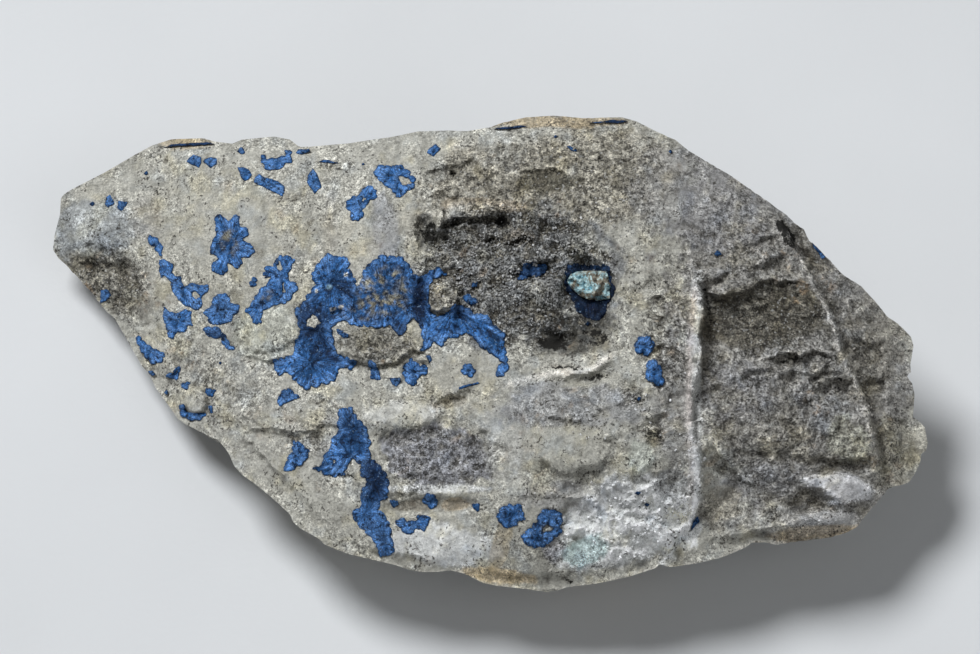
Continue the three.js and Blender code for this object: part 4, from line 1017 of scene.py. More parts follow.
def fine_outline(name, loops):
    """A crust's outline in short segments: scalloped on a growth of crystals, straighter on a single one."""
    fine = []
    for number, loop in enumerate(loops):
        rng = np.random.default_rng([len(loop), number, *name.encode()])
        if name in SINGLE_CRYSTALS:
            fine.append(wandered(lobed(np.array(loop), rng, 1.6, 0.05)))
        else:
            depth = PETAL_LOBE_DEPTH if name in PETALLED else LOBE_DEPTH
            large = lobed(rounded(loop), rng, LOBE_WIDTH, depth)
            fine.append(wandered(lobed(large, rng, SMALL_LOBE_WIDTH, SMALL_LOBE_DEPTH)))
    return segments_of(fine)


def inside_outline(u, v, segments):
    """How far each position lies within an outline, in millimetres, negative outside it."""
    within = np.zeros(len(u), dtype=bool)
    nearest = np.full(len(u), np.inf)
    for (au, av), (bu, bv) in segments:
        eu, ev = bu - au, bv - av
        spans = (av > v) != (bv > v)
        if ev != 0:
            within ^= spans & (u < au + (v - av) / ev * eu)
        length = eu * eu + ev * ev
        if length > 0:
            share = np.clip(((u - au) * eu + (v - av) * ev) / length, 0, 1)
            nearest = np.minimum(nearest, (u - au - share * eu) ** 2 + (v - av - share * ev) ** 2)
    return np.where(within, 1, -1) * np.sqrt(nearest)


class Face:
    """The fine face of the stone: the plain solid's broad form, relief on it, and a bed under each crust."""

    def __init__(self):
        self.tree = tree_of("matrix_stone")
        self.broad = BroadForm(self.tree)
        self.outlines = {name: fine_outline(name, loops_of(boundary_segments(name)))
                         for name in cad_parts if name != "matrix_stone"}

    def bed(self, u, v):
        """How far within a crust each position lies, in millimetres; well below zero away from them all."""
        depth = np.full(len(u), -9.0)
        for name, segments in self.outlines.items():
            if name == "turquoise_knob":
                continue
            here = around(u, v, segments.reshape(-1, 2), 0.8)
            depth[here] = np.maximum(depth[here], inside_outline(u[here], v[here], segments))
        return depth

    def relief(self, u, v):
        """The relief with the crusts' beds cut in it, its painted shade and roughness, and how far it is in a
        bed.
        """
        relief, shade_stain, rough = face_relief(u, v)
        bed = ease(-0.25, 0.35, self.bed(u, v))
        return relief - BED_DEPTH * bed, shade_stain, rough * (1 - 0.6 * bed), bed

    def height(self, u, v, relief):
        """Heights above the base, kept within the box of the plain model."""
        height = self.broad.at(u, v) + relief * COS_LEAN
        over = np.maximum(height - SUMMIT, 0)
        height = np.minimum(height, SUMMIT) + SUMMIT_ROOM * (1 - np.exp(-over / SUMMIT_ROOM))
        low_y, high_y = CAD_BOX[0][1] / MM + BOX_MARGIN, CAD_BOX[1][1] / MM - BOX_MARGIN
        lowest = (v - (high_y - FACE_ORIGIN_Y) * COS_LEAN) / SIN_LEAN
        highest = (v - (low_y - FACE_ORIGIN_Y) * COS_LEAN) / SIN_LEAN
        return np.clip(height, lowest, highest)


# ---- colour

def mixed(colours, other, share):
    """Colours moved towards another one by a share at each point."""
    return colours + (np.array(other) - colours) * share[:, None]


def patched_tone(u, v, ragged, torn):
    """The stone's colour from its patches and streaks alone."""
    colours = np.tile(np.array(BUFF), (len(u), 1))
    for patch in TONES:
        here = around(u, v, [patch["centre"]], 1.9 * max(patch["size"]) + 1)
        reach = ellipse_reach(u[here], v[here], patch["centre"], patch["size"], patch["turn"])
        reach += 0.45 * ragged[here] + 0.3 * torn[here]
        share = patch["strength"] * (1 - ease(1 - 0.25 * patch["edge"], 1 + 0.25 * patch["edge"], reach))
        # Dark brown lies in torn scraps, where the other colours lie whole.
        if patch["colour"] == DARK_BROWN:
            share = share * ease(-0.2, 0.1, torn[here])
        colours[here] = mixed(colours[here], patch["colour"], share)
    for band in STREAKS:
        here = around(u, v, band["points"], 4 * band["reach"])
        wander = 0.5 * ragged[here]
        distance, _, along = near_line(u[here] + wander, v[here] + 0.6 * wander, band["points"])
        share = np.exp(-(distance / band["reach"]) ** 2) * ease(0, 0.08, along) * ease(1, 0.92, along)
        colours[here] = mixed(colours[here], band["colour"], band["strength"] * share)
    return colours


# How much each broken flat is lighter or darker than the next: on clean rock, what grime adds, size and seed.
FLAT_SHADES = [
    (0.04, 0.15, 3.4, 421),
    (0.045, 0.22, 1.5, 431),
    (0.045, 0.30, 0.75, 441),
]


def stone_tone(u, v, proud, grime):
    """The stone's colour at each point of the face; proud is how far it stands above what is round it.
    Hollows get painted shade mixed with dirt, and crests a painted highlight.
    """
    flat = face_points(u, v)
    ragged = layered_noise(flat, 2.4, 4, 401, fade=0.6)
    torn = layered_noise(flat, 1.3, 4, 411, fade=0.7)
    colours = patched_tone(u, v, ragged, torn)
    warm = ease(0.0, 0.5, layered_noise(flat, 2.6, 4, 481, fade=0.6))[:, None]
    cold = ease(0.0, 0.5, layered_noise(flat, 2.2, 4, 511, fade=0.6))[:, None]
    colours *= 1 + warm * (0.04, 0.0, -0.12) + cold * (-0.06, -0.02, 0.05)
    streaky = layered_noise(flat * (1.0, 0.16, 1.0), 1.3, 3, 435)
    colours *= (1 - 0.22 * ease(0.05, 0.5, streaky) * (1 - grime))[:, None]
    bent = flat + 0.5 * np.stack([ragged, torn, ragged], axis=1)
    shade = (0.03 + 0.13 * grime) * layered_noise(flat, 0.6, 2, 451)
    for clean, added, size, seed in FLAT_SHADES:
        shade += (clean + added * grime) * chipped(bent, size, seed)
    colours *= (1 + shade)[:, None]
    dark = ease(0.2, 0.34, layered_noise(flat, 0.9, 4, 461, fade=0.7)) * grime
    colours = mixed(colours, DARK_BROWN, 0.6 * dark)
    rust = ease(0.2, 0.4, layered_noise(flat, 1.2, 4, 491, fade=0.65))
    rust *= ease(0.0, 0.4, layered_noise(flat, 5, 2, 495))
    colours = mixed(colours, RUST, (0.2 + 0.5 * grime) * rust)
    # Painted shade, mixed with dirt, in the hollows; painted highlight on the crests.
    colours = mixed(colours, DIRT_AND_SHADE, (0.12 + 0.6 * grime) * np.clip(-proud / 0.3, 0, 1))
    colours *= (1 + (0.14 + 0.16 * grime) * np.clip(proud / 0.3, 0, 1))[:, None]
    return np.clip(colours, 0.01, 0.95)


def side_tone(points):
    """The colour of the stone's sides and underside."""
    blotch = ease(-0.5, 0.6, layered_noise(points, 14, 3, 501))
    colours = mixed(np.tile(np.array(BUFF), (len(points), 1)), WARM_GREY, blotch)
    colours = mixed(colours, OCHRE, 0.5 * ease(0.05, 0.6, layered_noise(points, 9, 3, 521)))
    shade = 1 + 0.3 * layered_noise(points, 1.2, 3, 541)
    return np.clip(colours * shade[:, None], 0.01, 1)


# ---- meshes

def new_object(name, places, faces, smooth=True):
    """A mesh object from places in metres."""
    mesh = bpy.data.meshes.new(name)
    mesh.from_pydata(places.tolist(), [], faces)
    mesh.polygons.foreach_set("use_smooth", [smooth] * len(mesh.polygons))
    mesh.update()
    thing = bpy.data.objects.new(name, mesh)
    bpy.context.scene.collection.objects.link(thing)
    return thing


def store_tone(mesh, colours):
    """Stores a colour at each vertex, for the shaders."""
    layer = mesh.attributes.new("tone", "FLOAT_COLOR", "POINT")
    full = np.concatenate([colours, np.ones((len(colours), 1))], axis=1)
    layer.data.foreach_set("color", full.astype(np.float32).ravel())


def store_number(mesh, values, name):
    """Stores a number at each vertex, for the shaders and the geometry trees."""
    layer = mesh.attributes.new(name, "FLOAT", "POINT")
    layer.data.foreach_set("value", np.asarray(values, dtype=np.float32))


def disc_position(a, b):
    """A square grid's places as radius and angle on the unit disc, rings staying rings."""
    wide = np.abs(a) >= np.abs(b)
    safe_a = np.where(a == 0, 1, a)
    safe_b = np.where(b == 0, 1, b)
    flat = math.pi / 4 * b / safe_a + np.where(a < 0, math.pi, 0)
    steep = math.pi / 2 - math.pi / 4 * a / safe_b + np.where(b < 0, math.pi, 0)
    radius = np.maximum(np.abs(a), np.abs(b))
    return radius, np.where(wide, flat, steep)


def rim_at(angle):
    """The stone's outline in each direction from the middle of the face."""
    du, dv = HALF_LENGTH * np.cos(angle), HALF_WIDTH * np.sin(angle)
    reach = np.zeros(len(angle))
    for (au, av), (bu, bv) in zip(STONE_OUTLINE, STONE_OUTLINE[1:] + STONE_OUTLINE[:1]):
        eu, ev = bu - au, bv - av
        cross = du * ev - dv * eu
        cross = np.where(np.abs(cross) < 1e-9, 1e-9, cross)
        along = (au * ev - av * eu) / cross
        share = (au * dv - av * du) / cross
        reach = np.where((share >= 0) & (share <= 1) & (along > reach), along, reach)
    return du * reach, dv * reach


def grid_faces(columns, rows, first=0):
    """Quads of a grid whose vertices run row by row, each with columns + 1 of them."""
    return [
        (first + j * (columns + 1) + i, first + j * (columns + 1) + i + 1,
         first + (j + 1) * (columns + 1) + i + 1, first + (j + 1) * (columns + 1) + i)
        for j in range(rows) for i in range(columns)
    ]


def border_of(columns, rows):
    """The border vertices of such a grid, anticlockwise from its first corner."""
    wide = columns + 1
    near = list(range(columns))
    right = [j * wide + columns for j in range(rows)]
    far = [rows * wide + i for i in range(columns, 0, -1)]
    left = [j * wide for j in range(rows, 0, -1)]
    return near + right + far + left


def grid_places(columns, rows):
    """Radius and angle on the unit disc for each vertex of such a grid."""
    a, b = np.meshgrid(np.linspace(-1, 1, columns + 1), np.linspace(-1, 1, rows + 1))
    return disc_position(a.ravel(), b.ravel())


class StoneBuilder:
    """The whole stone as one closed mesh: fine face, sides in rows that coarsen downwards, and underside."""

    SIDE_PLAN = [(1, FINE_SIDE_ROWS), (2, MIDDLE_SIDE_ROWS), (4, COARSE_SIDE_ROWS)]
    SIDE_FLATS = [(1.1, 11, 601), (0.5, 4.2, 621), (0.2, 1.6, 641)]
    SIDE_GRIME = 0.6
    BASE_GRIME = 0.5

    def __init__(self, face):
        self.face = face
        self.vertices = []
        self.faces = []
        self.count = 0

    def add(self, places, colours, rough, grime, shade_stain):
        """Adds vertices with their colour, roughness, grime and painted shade, and returns their numbers."""
        first = self.count
        self.vertices.append((places, colours, rough, grime, shade_stain))
        self.count += len(places)
        return np.arange(first, self.count)

    def add_plain(self, places, grime):
        """Adds vertices of the sides or the underside, all of one roughness and grime."""
        even = np.full(len(places), grime)
        return self.add(places, side_tone(places), even, even, 0 * even)

    def build(self):
        """Makes the face, then the rows of its sides downwards, then the underside."""
        ring, rim, angle = self.add_face()
        total = sum(rows for _, rows in self.SIDE_PLAN)
        row = 0
        step = 1
        for every, rows in self.SIDE_PLAN:
            for _ in range(rows):
                row += 1
                fresh = self.side_row(rim[::every], angle[::every], row / total)
                self.join(ring, fresh, every // step)
                ring, step = fresh, every
        self.close_base(ring, rim[::step], angle[::step])
        return self.object()

    def add_face(self):
        """Adds the fine face, and returns its border: numbers, places and directions from the middle."""
        radius, angle = grid_places(FACE_CELLS_ALONG, FACE_CELLS_ACROSS)
        rim_u, rim_v = rim_at(angle)
        u, v = rim_u * radius, rim_v * radius
        relief, shade_stain, rough, _ = self.face.relief(u, v)
        edge = ease(0.93, 1.0, radius)
        relief = relief * (1 - 0.6 * edge) - 0.4 * edge
        places = world_from_face(u, v, self.face.height(u, v, relief))
        grid = relief.reshape(FACE_CELLS_ACROSS + 1, FACE_CELLS_ALONG + 1)
        proud = (1.4 * (grid - blurred(grid, 1)) + grid - blurred(grid, 3)).ravel()
        grime = grime_at(u, v)
        self.add(places, stone_tone(u, v, proud, grime), rough, grime, shade_stain)
        self.faces += grid_faces(FACE_CELLS_ALONG, FACE_CELLS_ACROSS)
        border = np.array(border_of(FACE_CELLS_ALONG, FACE_CELLS_ACROSS))
        return border, places[border], angle[border]

    def foot(self, rim, angle):
        """Where the side below each place of the rim meets the base, further in below high and far places."""
        inward = np.array(BASE_CENTRE) - rim[:, :2]
        inward /= np.linalg.norm(inward, axis=1)[:, None]
        inset = 1 + rim[:, 2] * (0.36 - 0.24 * np.sin(angle))
        return np.column_stack([rim[:, :2] + inward * inset[:, None], np.full(len(rim), BASE_EDGE_RISE)])

    def side_row(self, rim, angle, share):
        """Adds the row of side vertices that lies a share of the way from the rim to the foot."""
        places, normals = self.on_solid(rim + (self.foot(rim, angle) - rim) * share)
        return self.add_plain(self.broken(places, normals, ease(0, 0.16, share)), self.SIDE_GRIME)

    def on_solid(self, aims):
        """The nearest places on the plain solid, and its normals there."""
        found = [self.face.tree.find_nearest(Vector(aim))[:2] for aim in aims * MM]
        places, normals = zip(*found)
        return np.array(places) / MM, np.array(normals)

    def broken(self, places, normals, weight):
        """Sides and underside cut back into broken flats, the resting patch kept level."""
        bite = 0.9
        for depth, size, seed in self.SIDE_FLATS:
            bite = bite + depth * chipped(places, size, seed)
        moved = places - normals * (np.clip(bite, 0.05, 2.4) * weight)[:, None]
        resting = places[:, 2] < 0.02
        hollow = np.clip(0.9 * layered_noise(places, 7, 3, 661), 0, 0.6)
        moved[resting] = places[resting]
        moved[resting, 2] = hollow[resting]
        moved[:, 2] = np.maximum(moved[:, 2], 0)
        return moved

    def join(self, upper, lower, ratio):
        """A band of faces from one ring to the next, which has as many vertices or half as many."""
        for i, low in enumerate(lower):
            low_next = lower[(i + 1) % len(lower)]
            start, middle, end = (upper[(ratio * i + k) % len(upper)] for k in (0, 1, 2))
            if ratio == 1:
                self.faces.append((middle, start, low, low_next))
            else:
                self.faces += [(middle, start, low), (middle, low, low_next), (end, middle, low_next)]

    def close_base(self, ring, rim, rim_angle):
        """Closes the underside inside the last ring, with the resting patch in its middle."""
        columns, rows = FACE_CELLS_ALONG // 4, FACE_CELLS_ACROSS // 4
        radius, angle = grid_places(columns, rows)
        border = border_of(columns, rows)
        foot = self.foot(rim, rim_angle)
        spots = [np.interp(angle, rim_angle, foot[:, axis], period=2 * math.pi) for axis in (0, 1)]
        aim = np.array(BASE_CENTRE) + (np.column_stack(spots) - np.array(BASE_CENTRE)) * radius[:, None]
        places, normals = self.on_solid(np.column_stack([aim, -2 + 4 * radius ** 2]))
        places = self.broken(places, normals, 1.0)
        inner = np.ones(len(places), dtype=bool)
        inner[border] = False
        index = np.zeros(len(places), dtype=int)
        index[inner] = self.add_plain(places[inner], self.BASE_GRIME)
        index[border] = ring
        self.faces += [index[list(quad)][::-1] for quad in grid_faces(columns, rows)]

    def object(self):
        """The stone as a mesh object, with everything that its material reads stored at its vertices."""
        places, colours, rough, grime, shade_stain = (np.concatenate(rows) for rows in zip(*self.vertices))
        stone = new_object("coarse_stone", places * MM, [[int(k) for k in face] for face in self.faces])
        store_tone(stone.data, colours)
        store_number(stone.data, grime, "grime")
        # Painted shade, which the material turns near black.
        store_number(stone.data, shade_stain, "shade_stain")
        store_number(stone.data, rough * (places[:, 2] > 0.6), "grain")
        return stone


# ---- crusts

NAVY = (0.006, 0.018, 0.055)
DEEP_BLUE = (0.016, 0.072, 0.195)
COBALT = (0.040, 0.145, 0.385)
BRIGHT_BLUE = (0.125, 0.275, 0.590)
RING_GREY = (0.27, 0.245, 0.165)
CRUMB = (0.58, 0.56, 0.50)
CYAN_SPOT = (0.30, 0.48, 0.62)

# Where each larger crust's fibres spread from.
GROWTH_CENTRES = {
    "main_crust": [(-20, 9), (-13.3, 7.8), (-22.3, -1), (-21.5, 3), (-4.5, 5.6), (-9.4, 7)],
    "lower_chain_crust": [(-17, -9.2), (-17.5, -12.5), (-14.5, -16), (-15.5, -20), (-13, -23.5)],
    "flower_rosette": [(-32.4, 13.9)],
    "near_cluster": [(7.4, -20.3), (5.9, -22.9)],
    "ragged_rosette": [(-26, 9.8), (-28.6, 6.2)],
}

CRUST_TONES = [
    tone("great ring", RING_GREY, (-13.4, 7.6), (3.3, 2.8), 20, 0.95, 0.3),
    tone("great ring middle", DEEP_BLUE, (-12.2, 8.4), (1.1, 0.9), 20, 0.7, 0.5),
    tone("great ring lower", RING_GREY, (-16.2, 5.2), (2.2, 0.9), 0, 0.5, 0.5),
    tone("north middle", NAVY, (-18.6, 8.6), (1.6, 1.0), -20, 0.7, 0.6),
    tone("dark west", NAVY, (-22.4, 4.2), (2.2, 2.6), 0, 0.8, 0.5),
    tone("dark south west", NAVY, (-20.4, 0.6), (1.8, 1.8), 0, 0.55, 0.6),
    tone("dark east", NAVY, (-8.8, 6.6), (1.0, 3.0), 0, 0.9, 0.4),
    tone("dark lobe", NAVY, (-11.2, 3.0), (1.0, 1.0), 0, 0.7, 0.5),
    # Painted shadow of the tan knob on the crust.
    tone("dark by the knob", NAVY, (-3.2, 5.6), (1.6, 0.7), -20, 0.6, 0.5),
    tone("cyan spot", CYAN_SPOT, (-20.1, 8.4), (0.35, 0.3), 0, 0.9, 0.5),
    tone("crumb one", CRUMB, (-19.6, 5.6), (0.45, 0.24), 25, 1.0, 0.2),
    tone("crumb two", CRUMB, (-18.6, 5.9), (0.38, 0.26), 40, 1.0, 0.2),
    tone("crumb three", CRUMB, (-18, 9.9), (0.32, 0.24), 40, 1.0, 0.2),
    tone("crumb four", CRUMB, (-21.7, 7.9), (0.22, 0.28), 0, 1.0, 0.2),
    tone("flower middle", RING_GREY, (-32.6, 14.0), (1.1, 1.5), 10, 0.9, 0.4),
    tone("ragged streak", RING_GREY, (-27.9, 7.2), (0.5, 1.0), -35, 0.6, 0.5),
    tone("chain dark", NAVY, (-14.3, -15.2), (1.7, 3.2), 0, 0.85, 0.5),
    tone("chain dark top", NAVY, (-16.8, -9), (2.2, 2.6), 0, 0.5, 0.6),
    tone("chain bright", BRIGHT_BLUE, (-14.6, -22), (2.4, 2.6), 0, 0.4, 0.6),
    # Painted shade in the pocket.
    tone("pocket dark", (0.003, 0.010, 0.028), (12.4, 7.4), (4.2, 4.8), 0, 0.97, 0.3),
    tone("niche dark", NAVY, (5.2, 10.4), (2.2, 1.2), 0, 0.7, 0.4),
    tone("near cluster bit", RING_GREY, (7, -21.7), (0.7, 0.4), 0, 0.8, 0.3),
    tone("near cluster bridge", NAVY, (5.4, -21.2), (0.9, 0.6), 0, 0.7, 0.4),
    tone("round rosette light", BRIGHT_BLUE, (-33.8, 5.8), (2.0, 1.6), 0, 0.35, 0.6),
    tone("strip dark", NAVY, (-34.4, 2.4), (1.8, 0.9), -20, 0.5, 0.5),
    tone("left rim strip", NAVY, (-38, 26.4), (5, 0.9), 0, 0.75, 0.4),
    tone("top rim strip", NAVY, (2.5, 28.4), (3, 0.8), 0, 0.75, 0.4),
    tone("top rim strip two", NAVY, (15.8, 29.2), (2.4, 0.7), 0, 0.75, 0.4),
]


def crust_tone(u, v, depth, painted_highlight):
    """A crust's colour: deep blue, with painted highlight on its crests and along its lobed edge, painted
    shadow at its very edge, and its own patches.
    """
    flat = face_points(u, v)
    ragged = layered_noise(flat, 0.9, 3, 701)
    body = np.tile(np.array(DEEP_BLUE), (len(u), 1))
    wide = layered_noise(flat, 1.8, 3, 721)
    bright = ease(-0.45, 0.40, 0.8 * wide + painted_highlight)
    body = mixed(body, COBALT, bright)
    body = mixed(body, BRIGHT_BLUE, 0.85 * ease(0.05, 0.65, 0.7 * layered_noise(flat, 0.8, 3, 761) + painted_highlight))
    body = mixed(body, NAVY, 0.85 * ease(0.08, 0.5, layered_noise(flat, 0.9, 3, 741) - 0.6 * painted_highlight))
    # Painted shadow: navy along the crust's very edge, where it meets the stone.
    edge_shadow_strength = ease(-0.5, 0.4, layered_noise(flat, 1.1, 2, 771))
    body = mixed(body, NAVY, (0.2 + 0.6 * edge_shadow_strength) * np.exp(-depth / 0.07))
    mottle = ease(-0.35, 0.3, layered_noise(flat, 0.6, 3, 781) + 0.4 * painted_highlight)
    for patch in CRUST_TONES:
        reach = ellipse_reach(u, v, patch["centre"], patch["size"], patch["turn"]) + 0.3 * ragged
        share = patch["strength"] * (1 - ease(1 - patch["edge"], 1 + patch["edge"], reach))
        if patch["colour"] == RING_GREY:
            share = share * mottle
        body = mixed(body, patch["colour"], share)
    return np.clip(body, 0.005, 1)


def crust_thickness(name, u, v, depth, segments, thick):
    """The crust's thickness, with a shoulder at its edge and fibres spreading from its centres, the height of
    the fibres, and each point's place on the wheel that they make."""
    flat = face_points(u, v)
    centres = GROWTH_CENTRES.get(name, [tuple(segments.reshape(-1, 2).mean(axis=0))])
    spread = np.stack([np.hypot(u - cu, v - cv) for cu, cv in centres])
    nearest = spread.argmin(axis=0)
    middle = np.array(centres)[nearest]
    angle = np.arctan2(v - middle[:, 1], u - middle[:, 0])
    reach = spread.min(axis=0)
    wheel = np.stack([4 * np.cos(angle), 4 * np.sin(angle), 0.16 * reach + 9 * nearest], axis=1)
    fibres = layered_noise(wheel, 1.0, 4, 801, fade=0.7)
    flats = chipped(flat, 1.3, 821)
    shoulder = 1 - np.exp(-np.maximum(depth, 0) / 0.16)
    relief = 0.24 * fibres + 0.14 * flats
    return thick * (0.25 + 0.75 * shoulder) + relief * (0.3 + 0.7 * shoulder), fibres, 3.5 * wheel


def knob_thickness(u, v, depth):
    """A broken lump: a low dome cut by flats."""
    flat = face_points(u, v)
    dome = 0.5 + 1.5 * (1 - np.exp(-depth / 0.9))
    return dome + 0.8 * chipped(flat, 1.9, 861, softness=0.02) + 0.35 * chipped(flat, 0.8, 871, softness=0.02)


def crust_sheet(name, segments):
    """A flat sheet of small triangles that fills an outline: its vertices and its triangles, facing up."""
    low = segments.reshape(-1, 2).min(axis=0)
    high = segments.reshape(-1, 2).max(axis=0)
    rng = np.random.default_rng([*name.encode()])
    us, vs = np.meshgrid(np.arange(low[0], high[0], CRUST_CELL), np.arange(low[1], high[1], CRUST_CELL))
    spots = np.column_stack([us.ravel(), vs.ravel()])
    spots += rng.uniform(-0.3, 0.3, spots.shape) * CRUST_CELL
    spots = spots[inside_outline(*spots.T, segments) > 0.45 * CRUST_CELL]
    corners, index = np.unique(np.round(segments.reshape(-1, 2), 4), axis=0, return_inverse=True)
    edges = [(int(a), int(b)) for a, b in index.reshape(-1, 2) if a != b]
    points = [Vector(place) for place in np.concatenate([corners, spots])]
    flat, _, triangles, *_ = delaunay_2d_cdt(points, edges, [], 0, 1e-5)
    flat = np.array([tuple(place) for place in flat])
    triangles = np.array([tuple(corners) for corners in triangles])
    triangles = triangles[inside_outline(*flat[triangles].mean(axis=1).T, segments) > 0]
    used, triangles = np.unique(triangles, return_inverse=True)
    triangles = triangles.reshape(-1, 3)
    flat = flat[used]
    a, b, c = (flat[triangles[:, k]] for k in (0, 1, 2))
    turn = (b[:, 0] - a[:, 0]) * (c[:, 1] - a[:, 1]) - (b[:, 1] - a[:, 1]) * (c[:, 0] - a[:, 0])
    triangles[turn < 0] = triangles[turn < 0][:, ::-1]
    return flat, triangles


def make_crust(face, name, segments, thick):
    """One crust as a closed shell that lies in its bed on the fine face."""
    flat, triangles = crust_sheet(name, segments)
    u, v = flat.T
    depth = np.maximum(inside_outline(u, v, segments), 0)
    relief, _, _, _ = face.relief(u, v)
    over, fibres, fan = crust_thickness(name, u, v, depth, segments, thick)
    if name == "turquoise_knob":
        over = knob_thickness(u, v, depth)
    top = world_from_face(u, v, face.height(u, v, relief + over))
    foot = world_from_face(u, v, face.height(u, v, relief - CRUST_FOOT))
    count = len(u)
    walls = [(start + count, end + count, end, start) for start, end in open_edges(triangles.tolist())]
    faces = triangles.tolist() + (triangles[:, ::-1] + count).tolist() + walls
    crust = new_object(name + "_fine", np.concatenate([top, foot]) * MM, faces)
    # Painted highlight on the fibre crests and in a band just inside the edge.
    painted_highlight = 0.8 * fibres + 0.5 * np.exp(-((depth - 0.4) / 0.3) ** 2)
    colours = crust_tone(u, v, depth, painted_highlight)
    # The underside and the foot of the walls at half brightness: painted shade.
    store_tone(crust.data, np.concatenate([colours, colours * 0.5]))
    spread = crust.data.attributes.new("fan", "FLOAT_VECTOR", "POINT")
    spread.data.foreach_set("vector", np.concatenate([fan, fan]).astype(np.float32).ravel())
    return crust


# ---- flecks too small to be nodes of the plain model

FLECKS = {
    "far_edge_wedge": [(40.2, 14), (40.6, 13.3), (41.6, 11.8), (42, 12.15), (41.2, 13.1)],
    "left_speck": [(-43.5, 22.7), (-43.2, 22.4), (-42.9, 22.65), (-43.1, 23)],
    "left_fleck": [(-50.35, 18.8), (-50, 18.5), (-49.65, 18.9), (-49.95, 19.2)],
    "rim_chip": [(-24.4, 25.1), (-23.4, 25), (-22.5, 25.3), (-22.7, 25.7), (-24, 25.6)],
    "tile_fleck": [(-2.3, 8.4), (-1.6, 8.5), (-1.7, 9), (-2.25, 8.95)],
    "lower_left_bit": [(-42.9, -2.2), (-42.4, -2.75), (-41.9, -2.6), (-42.3, -2.1)],
    "nodule_end": [(-35.3, -6.5), (-35, -7.4), (-34.6, -7.3), (-34.8, -6.4)],
    "nodule_dot": [(-40.9, -4.8), (-40.6, -5.1), (-40.3, -4.8), (-40.6, -4.5)],
    "west_speck": [(-34, -1.2), (-33.8, -1.4), (-33.55, -1.15), (-33.8, -0.95)],
    "star_fleck": [(28, 12.5), (28.4, 12.2), (28.9, 12.5), (28.7, 12.9), (28.3, 13)],
    "right_speck": [(18.2, -5.5), (18.5, -5.8), (18.8, -5.4), (18.5, -5.2)],
    "top_speck": [(8, 27.2), (8.3, 27), (8.6, 27.2), (8.3, 27.45)],
    "upper_smear": [(9.5, 26), (10.3, 25.4), (11, 25.2), (10.9, 25.6), (10, 26.1)],
    "upper_speck": [(22.3, 25.2), (22.6, 25), (22.8, 25.3), (22.5, 25.5)],
    "comma_speck": [(-16.1, 23.8), (-15.9, 23.6), (-15.65, 23.8), (-15.9, 24)],
    "comma_streak": [(-21.5, 24.1), (-20, 23.8), (-19, 24), (-20.2, 24.3)],
    "thin_streak": [(-3.9, -4.5), (-2.6, -4.1), (-1.3, -3.65), (-1.4, -3.4), (-2.7, -3.8), (-3.9, -4.2)],
    "south_speck": [(18, -17.3), (18.5, -17.6), (18.9, -17.2), (18.5, -17)],
    "south_speck_two": [(19.2, -18.8), (19.6, -19.1), (19.9, -18.7), (19.5, -18.5)],
    "left_rim_strip": [(-41, 26), (-39, 26.1), (-36.6, 26.15), (-34.6, 26.35), (-35.6, 26.55), (-38, 26.45),
                       (-40, 26.3)],
    "top_rim_strip": [(0.5, 28.2), (2.2, 28.15), (4.6, 28.4), (4, 28.6), (2, 28.45)],
    "top_rim_strip_two": [(12.4, 28.95), (14.2, 29), (15.8, 28.95), (17.3, 29.05), (16.6, 29.3), (15, 29.3)],
    "bright_bit": [(11.9, 3.7), (12.3, 3.5), (12.6, 3.9), (12.2, 4.1)],
}
FLECK_THICKNESS = 0.22
PETALLED = {"flower_rosette", "round_rosette", "heart_crust", "winged_rosette"}
SINGLE_CRYSTALS = {
    "bar_crystal", "teardrop_crystal", "kite_crystal", "upper_left_crystal", "upper_left_twin", "rim_crystal",
    "tip_crystal", "tip_twin", "square_crystal", "seam_square", "ledge_bead", "seam_bead", "ledge_crescent",
    "left_edge_crescent", "matrix_flap_fleck", "corner_wedge", "turquoise_knob", *FLECKS,
}
CRUST_THICKNESSES = {"main_crust": 0.38, "lower_chain_crust": 0.36, "near_cluster": 0.5, "near_rosette": 0.45,
                     "vein_rosette": 0.6, "vein_cluster": 0.6, "pocket_lining": 0.25}
USUAL_CRUST_THICKNESS = 0.3
KNOB_SWELL = 1.22


# ---- node trees

def node(tree, kind, inputs=None, **settings):
    """Adds a node, sets its options and gives its inputs values or links, by socket name or number."""
    made = tree.nodes.new(kind)
    for key, value in settings.items():
        setattr(made, key, value)
    for key, value in (inputs or {}).items():
        if isinstance(value, bpy.types.NodeSocket):
            tree.links.new(value, made.inputs[key])
        else:
            made.inputs[key].default_value = value
    return made


def stretched(tree, value, low, high, least=0.0, most=1.0):
    """A number stretched so that low to high becomes least to most, which may vary over the surface too."""
    made = node(tree, "ShaderNodeMapRange", {"Value": value, "From Min": low, "From Max": high,
                                             "To Min": least, "To Max": most})
    return made.outputs["Result"]


def between(tree, share, low, high):
    """A number between two others, by a share from 0 to 1."""
    return stretched(tree, share, 0.0, 1.0, low, high)


def noise(tree, place, size, detail=2.0, roughness=0.5):
    """Noise with bumps of the given size in metres, more ragged with more roughness."""
    made = node(tree, "ShaderNodeTexNoise", {"Vector": place, "Scale": 1 / size, "Detail": detail,
                                             "Roughness": roughness})
    return made.outputs["Fac"]


def cells(tree, place, size, out="Distance"):
    """Cells of the given size in metres: distance to each one's middle, or its own random colour."""
    made = node(tree, "ShaderNodeTexVoronoi", {"Vector": place, "Scale": 1 / size})
    return made.outputs[out]


def worked_out(tree, way, *numbers):
    """The result of a sum on one or more numbers."""
    return node(tree, "ShaderNodeMath", dict(enumerate(numbers)), operation=way).outputs[0]


def times(tree, first, second):
    return worked_out(tree, "MULTIPLY", first, second)


def plus(tree, first, second):
    return worked_out(tree, "ADD", first, second)


def largest(tree, first, second):
    return worked_out(tree, "MAXIMUM", first, second)


def painted(tree, name, out="Color"):
    """A colour, number or direction stored at each point of the mesh."""
    return node(tree, "ShaderNodeAttribute", attribute_name=name).outputs[out]


